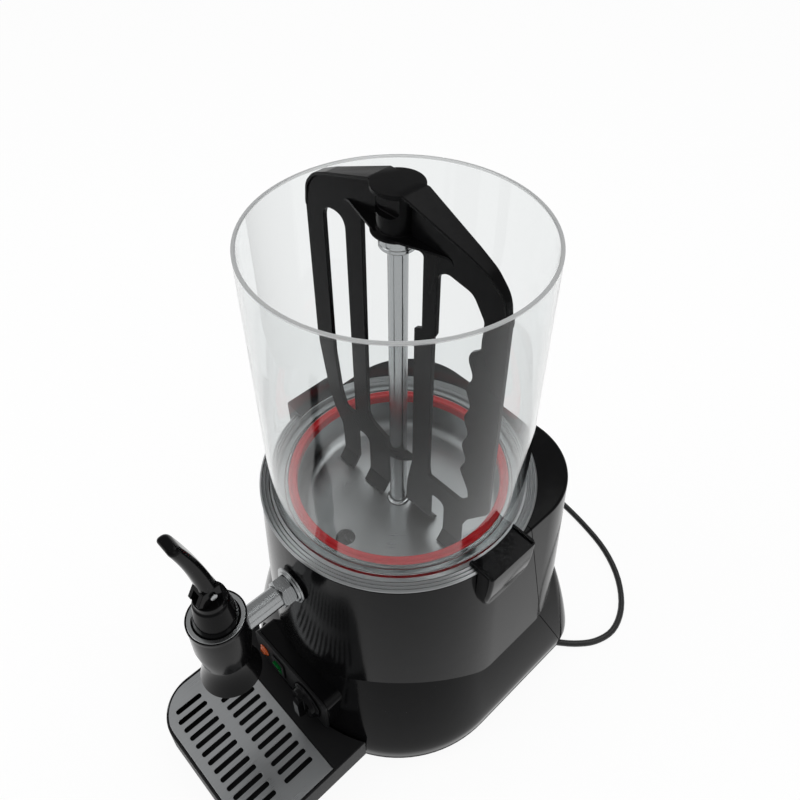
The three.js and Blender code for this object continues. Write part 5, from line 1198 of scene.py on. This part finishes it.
def makeTapBody():
    radius, wall, bottom, roof = skirt["radius"], skirt["wall"], skirt["bottom"], skirt["roof"]
    barrel, edge, bore, seatBore = tap["barrel"], tap["rim"], valve["bore"], valve["seatBore"]
    collar, collarHeight = nozzle["collar"], nozzle["collarHeight"]
    flare = [(radius + (tap["waist"] - radius) * sin(pi / 2 * i / 20),
              bottom + (tap["waistHeight"] - bottom) * i / 20) for i in range(21)]
    profile = [
        (seatBore, roof - collarHeight), (collar, roof - collarHeight), (collar, roof),
        (radius - wall - collarHeight, roof), (radius - wall, bottom), *flare, (barrel, pipe["height"]),
        (barrel, recessFoot - tap["recess"]), (edge, recessFoot), (edge, tap["top"]),
        (barrel - gap, tap["top"]), (barrel - gap, recessFoot), (bore, recessFoot),
        (bore, valve["seat"] + gap), (seatBore, valve["seat"]),
    ]
    socket = lying(rod(pipe["radius"] + gap, 0, barrel + 5, 48), pipe["height"])
    body = combine(turned(profile, 96, 0.5, 3, 25), [socket])
    keepTap(body, "tapBody", "machine", "polishedBlackAbs", "tap_body")

    foot, radius, top = nozzle["bottom"], nozzle["radius"], roof - collarHeight - gap
    profile = [(seatBore, foot), (nozzle["mouth"], foot), (radius, foot + collarHeight),
               (radius, top - collarHeight), (collar, top - collarHeight), (collar, top), (seatBore, top)]
    keepTap(turned(profile, 72, 0.5), "tapNozzle", "machine", "groundStainlessUpright", "tap_nozzle")


def makeTapTop():
    inner, outer = tapRing["inner"], tap["barrel"] - 2 * gap
    profile = [(inner, ringFoot), (outer, ringFoot), (outer, ringTop), (inner, ringTop)]
    keepTap(turned(profile, 96, 0.6, 4), "tapRing", "machine", "groundStainlessUpright", "tap_ring")

    hole, foot, step, top = stem["radius"] + gap, bonnet["foot"], bonnet["stepRadius"], bonnet["top"]
    crownTop = top - bonnet["stepHeight"]
    profile = [(hole, ringFoot), (foot, ringFoot), (foot, ringTop), (bonnet["crown"], crownTop),
               (step, crownTop + bonnet["stepHeight"] / 4), (step, top), (hole, top)]
    keepTap(turned(profile, 96, 0.7, 4, 10), "tapBonnet", "machine", "polishedBlackAbs", "tap_bonnet")


def makeStem():
    foot = valve["seat"] + 2 * gap
    high = foot + valve["plungerHeight"] - gap
    top = leverPivot + stem["overPin"]
    chamfer, plunger, radius = valve["plungerHeight"] / 4, valve["plunger"], stem["radius"]
    profile = [(0, foot), (plunger - chamfer, foot), (plunger, foot + chamfer), (plunger, high),
               (radius, high), (radius, top), (0, top)]
    bore = place(place(rod(leverPin["radius"] + gap, -10, 10, 32), turn=90, axis="Y"), (0, 0, leverPivot))
    body = combine(turned(profile, 48, 0.4), [bore])
    keepTap(body, "tapStem", "tap_valve", "groundStainlessUpright", "tap_stem")


# The heel's outline: each turn of the lever presses a part of it on the bonnet that stands further out
def heelOutline():
    pull = radians(lever["pull"])
    rate = valve["lift"] / pull
    points = [(lever["back"], lever["heel"], 0), (lever["back"], -lever["heel"], 0)]
    steps = 24
    for i in range(steps + 1):
        angle = pull * i / steps
        out = lever["heel"] + rate * angle
        points.append((-out * sin(angle) - rate * cos(angle), rate * sin(angle) - out * cos(angle), 0))
    return [*points, (-lever["back"], lever["heel"], 0)][::-1]


def makeLever():
    half = lever["width"] / 2
    heel = softEdges(across(prism(heelOutline(), -half, half)), 0.8, 3, angle=40)
    stations = []
    steps, tip = 12, 5
    for i in range(steps + tip + 1):
        u = max(i - steps, 0) / tip
        t = 0.93 * min(i / steps, 1) + 0.07 * sin(pi / 2 * u)
        narrow = 0.5 + 0.5 * cos(pi / 2 * u)
        width = narrow * (lever["width"] + (lever["grip"] - lever["width"]) * t * t)
        depth = narrow * (2 * lever["back"] + (lever["gripDepth"] - 2 * lever["back"]) * t)
        y = -lever["lean"] * t * (1 + t)
        corner = 0.42 * depth
        ring = [(x * width / 2, y + s * depth / 2, corner) for x, s in ((-1, -1), (1, -1), (1, 1), (-1, 1))]
        stations.append((ring, lever["heel"] / 2 + lever["length"] * t))
    handle = loft(stations, 8)
    softEdges(handle, 1.5, 4, angle=40, test=lambda p: p.z > lever["length"])
    around = stem["radius"] + gap
    swept = hypot(stem["radius"], stem["overPin"]) + 2 * gap
    reach = 2 * lever["heel"] + 5
    fork = box(-around, around, -reach, swept, -reach, swept)
    bore = place(rod(leverPin["radius"] + gap, -half - 5, half + 5, 32), turn=90, axis="Y")
    body = combine(combine(heel, [handle], "UNION"), [fork, bore])
    keepTap(place(body, (0, 0, leverPivot)), "tapLever", "tap_lever", "polishedBlackAbs", "tap_lever")
    radius, head, inner = leverPin["radius"], leverPin["head"], half + gap
    end = inner + leverPin["headHeight"]
    profile = [(0, -end), (head, -end), (head, -inner), (radius, -inner), (radius, inner), (head, inner),
               (head, end), (0, end)]
    pin = place(place(turned(profile, 48, 0.3), turn=90, axis="Y"), (0, 0, leverPivot))
    keepTap(pin, "leverPin", "tap_lever", "groundStainlessLying", "lever_pin")


makePipe()
makeWallFitting()
makeTapBody()
makeTapTop()
makeStem()
makeLever()
print("outlet and tap")


# Controls

def makePanel():
    face, middle = -panel["face"], panel["middle"]
    shape = filleted(roundedBox(panel["width"], panel["height"], panel["corner"], 0, middle), 10)
    holes = [[(x + radius * cos(pi / 16 * i), middle + radius * sin(pi / 16 * i)) for i in range(32)]
             for x, radius in ((knob["x"], knob["panelHole"]), (lamp["x"], lamp["radius"] + gap))]
    body = plate([shape, *holes, filleted(rockerWindow())], panel["depth"], 0.6, 3)
    body = place(body, (0, face + panel["depth"] / 2, 0))
    keep(body, "controlPanel", "machine", "sparkFinishedBlackAbs", "control_panel")


def makeKnob():
    seat, height, step = -2 * gap, knob["height"], knob["skirtHeight"]
    radius = knob["radius"]
    top = seat - height
    profile = [(0, top), (radius - 1.5 * step, top), (radius - step / 2, top + step), (radius, seat - step),
               (knob["skirt"], seat - step / 2), (knob["skirt"], seat), (0, seat)]
    body = turned(profile, 96, 0.8, 4, 15)
    half = knob["grip"] / 2
    cuts = [box(low, high, -40, 40, top - 5, seat - height / 2) for low, high in ((half, 40), (-40, -half))]
    body = combine(body, [softEdges(cut, 1.2, 4) for cut in cuts])
    shaftEnd = panel["depth"] + gap + casing["wall"] + 7
    body = combine(body, [rod(knob["shaft"], seat - step, shaftEnd, 32)], "UNION")
    body = place(lying(body, panel["middle"]), (knob["x"], -panel["face"], 0))
    keep(body, "thermostatKnob", "thermostat_knob", "polishedBlackAbs", "thermostat_knob")


def makeSwitch():
    front, middle, x = -panel["face"] - gap, panel["middle"], rocker["x"]
    width, height, border, proud = rocker["width"], rocker["height"], rocker["border"], rocker["proud"]
    bezel = roundedBox(width + 2 * border, height + 2 * border, border, x, middle)
    bezel = softEdges(standing(bezel, front - proud, front), 0.6, 3, angle=60)
    barrel = standing(roundedBox(width, height, 0, x, middle), front - gap, front + rocker["depth"])
    wall = proud / 2
    opening = roundedBox(width - proud, height - proud, 0, x, middle)
    opening = standing(opening, front - proud - 5, front + height / 2)
    body = combine(combine(bezel, [barrel], "UNION"), [opening])
    keep(body, "switchBody", "machine", "sparkFinishedBlackAbs", "switch_body")
    halfHeight, halfWidth = height / 2 - wall - 4 * gap, width / 2 - wall - gap
    nose = proud + gap
    crest = nose + halfHeight * sin(radians(rocker["swing"])) / cos(radians(rocker["swing"]))
    side = [(-nose, -halfHeight, 0), (-nose - crest / 4, 0, 0), (-crest - nose / 2, halfHeight, 0),
            (halfHeight / 3, halfHeight - crest, 0), (halfHeight / 2, 0, 0),
            (halfHeight / 3, -halfHeight + crest, 0)]
    key = softEdges(across(prism(side, -halfWidth, halfWidth)), 0.5, 3, angle=20)
    key = place(key, (x, front, middle))
    keep(key, "switchRocker", "switch_rocker", "tintedGreenAcrylic", "switch_rocker")


def makeLamp():
    front, proud, radius, bezel, end = -gap, lamp["proud"], lamp["radius"], lamp["bezel"], lamp["depth"]
    profile = [(0, front - proud), (radius - proud / 2, front - proud), (radius, front - proud / 2),
               (bezel, front - proud / 3), (bezel, front), (radius, front), (radius, end), (0, end)]
    body = place(lying(turned(profile, 64, 0.5, 4, 20), panel["middle"]), (lamp["x"], -panel["face"], 0))
    keep(body, "heatingLamp", "machine", "tintedAmberAcrylic", "heating_lamp")


makePanel()
makeKnob()
makeSwitch()
makeLamp()
print("controls")


# The nodes that stay as they are get their materials

carried = {
    "sparkFinishedBlackAbs": ["overheat_limiter"],
    "groundStainlessUpright": ["tap_spring", "drive_shaft", "motor_shaft"],
    "groundStainlessLying": ["drive_pin"],
    "zincPlatedSteel": ["column_nut", "drive_bracket", "motor", "thermostat_body"],
    "machinedBrass": ["shaft_bearing", "motor_pinion"],
    "naturalNylon": ["drive_wheel"],
    "pressedMica": ["heater_plate"],
}
for finish, names in carried.items():
    for name in names:
        nodes[name].data.materials.clear()
        nodes[name].data.materials.append(finishes[finish])


# Floor, light and sky

# The floor's size and the lamps' aim in metres, the strengths of sky, shadow and seen floor
studio = {"floor": 8.0, "sky": 0.45, "shadow": 0.12, "glow": 1.05, "aim": (0, 0.05, 0.25)}


# One where a ray is of any of the given kinds
def seenBy(tree, *kinds):
    rays = addNode(tree, "ShaderNodeLightPath").outputs
    seen = rays[kinds[0] + " Ray"]
    for kind in kinds[1:]:
        either = addNode(tree, "ShaderNodeMath", {0: seen, 1: rays[kind + " Ray"]}, operation="MAXIMUM")
        seen = either.outputs[0]
    return seen


# Seen directly, in a reflection or through the bowl, the floor is white with a faint shadow; to other light
# it is pale and matt
def makeFloor():
    bm = bmesh.new()
    bmesh.ops.create_grid(bm, x_segments=1, y_segments=1, size=studio["floor"] / 2)
    floor = linked(bm, "floor")
    material = bpy.data.materials.new("paleFloor")
    material.use_nodes = True
    tree = material.node_tree
    tree.nodes.clear()
    seen = seenBy(tree, "Is Camera", "Is Glossy", "Is Transmission")
    share = addNode(tree, "ShaderNodeMath", {0: seen, 1: 1 - studio["shadow"]}, operation="MULTIPLY")
    matt = addNode(tree, "ShaderNodeBsdfDiffuse", {"Color": linear("#f2f2f2")})
    white = addNode(tree, "ShaderNodeEmission", {"Color": (1, 1, 1, 1), "Strength": studio["glow"]})
    mix = addNode(tree, "ShaderNodeMixShader", {0: share.outputs[0], 1: matt.outputs[0], 2: white.outputs[0]})
    addNode(tree, "ShaderNodeOutputMaterial", {"Surface": mix.outputs[0]})
    floor.data.materials.append(material)


# White to the camera and through the bowl, and a softer light on everything else
def makeSky():
    world = bpy.data.worlds.new("studio")
    bpy.context.scene.world = world
    world.use_nodes = True
    tree = world.node_tree
    tree.nodes.clear()
    seen = seenBy(tree, "Is Camera", "Is Transmission")
    soft = addNode(tree, "ShaderNodeBackground", {"Color": (1, 1, 1, 1), "Strength": studio["sky"]})
    white = addNode(tree, "ShaderNodeBackground", {"Color": (1, 1, 1, 1), "Strength": 1.0})
    mix = addNode(tree, "ShaderNodeMixShader", {0: seen, 1: soft.outputs[0], 2: white.outputs[0]})
    addNode(tree, "ShaderNodeOutputWorld", {"Surface": mix.outputs[0]})


lamps = {  # place, width and depth in metres, power in watts
    "keyLight": ((-0.9, -1.3, 1.6), (1.2, 1.2), 7),
    "sideLight": ((1.5, 0.2, 1.1), (0.5, 1.6), 2),
    "topLight": ((0.1, 0.9, 2.1), (1.4, 0.8), 6),
}


def makeLamps():
    for name, (spot, size, power) in lamps.items():
        data = bpy.data.lights.new(name, "AREA")
        data.shape = "RECTANGLE"
        data.size, data.size_y = size
        data.energy = power
        obj = bpy.data.objects.new(name, data)
        obj.location = spot
        obj.rotation_euler = (Vector(studio["aim"]) - Vector(spot)).to_track_quat("-Z", "Y").to_euler()
        bpy.context.scene.collection.objects.link(obj)


makeFloor()
makeSky()
makeLamps()
bpy.context.scene.view_settings.view_transform = "Standard"
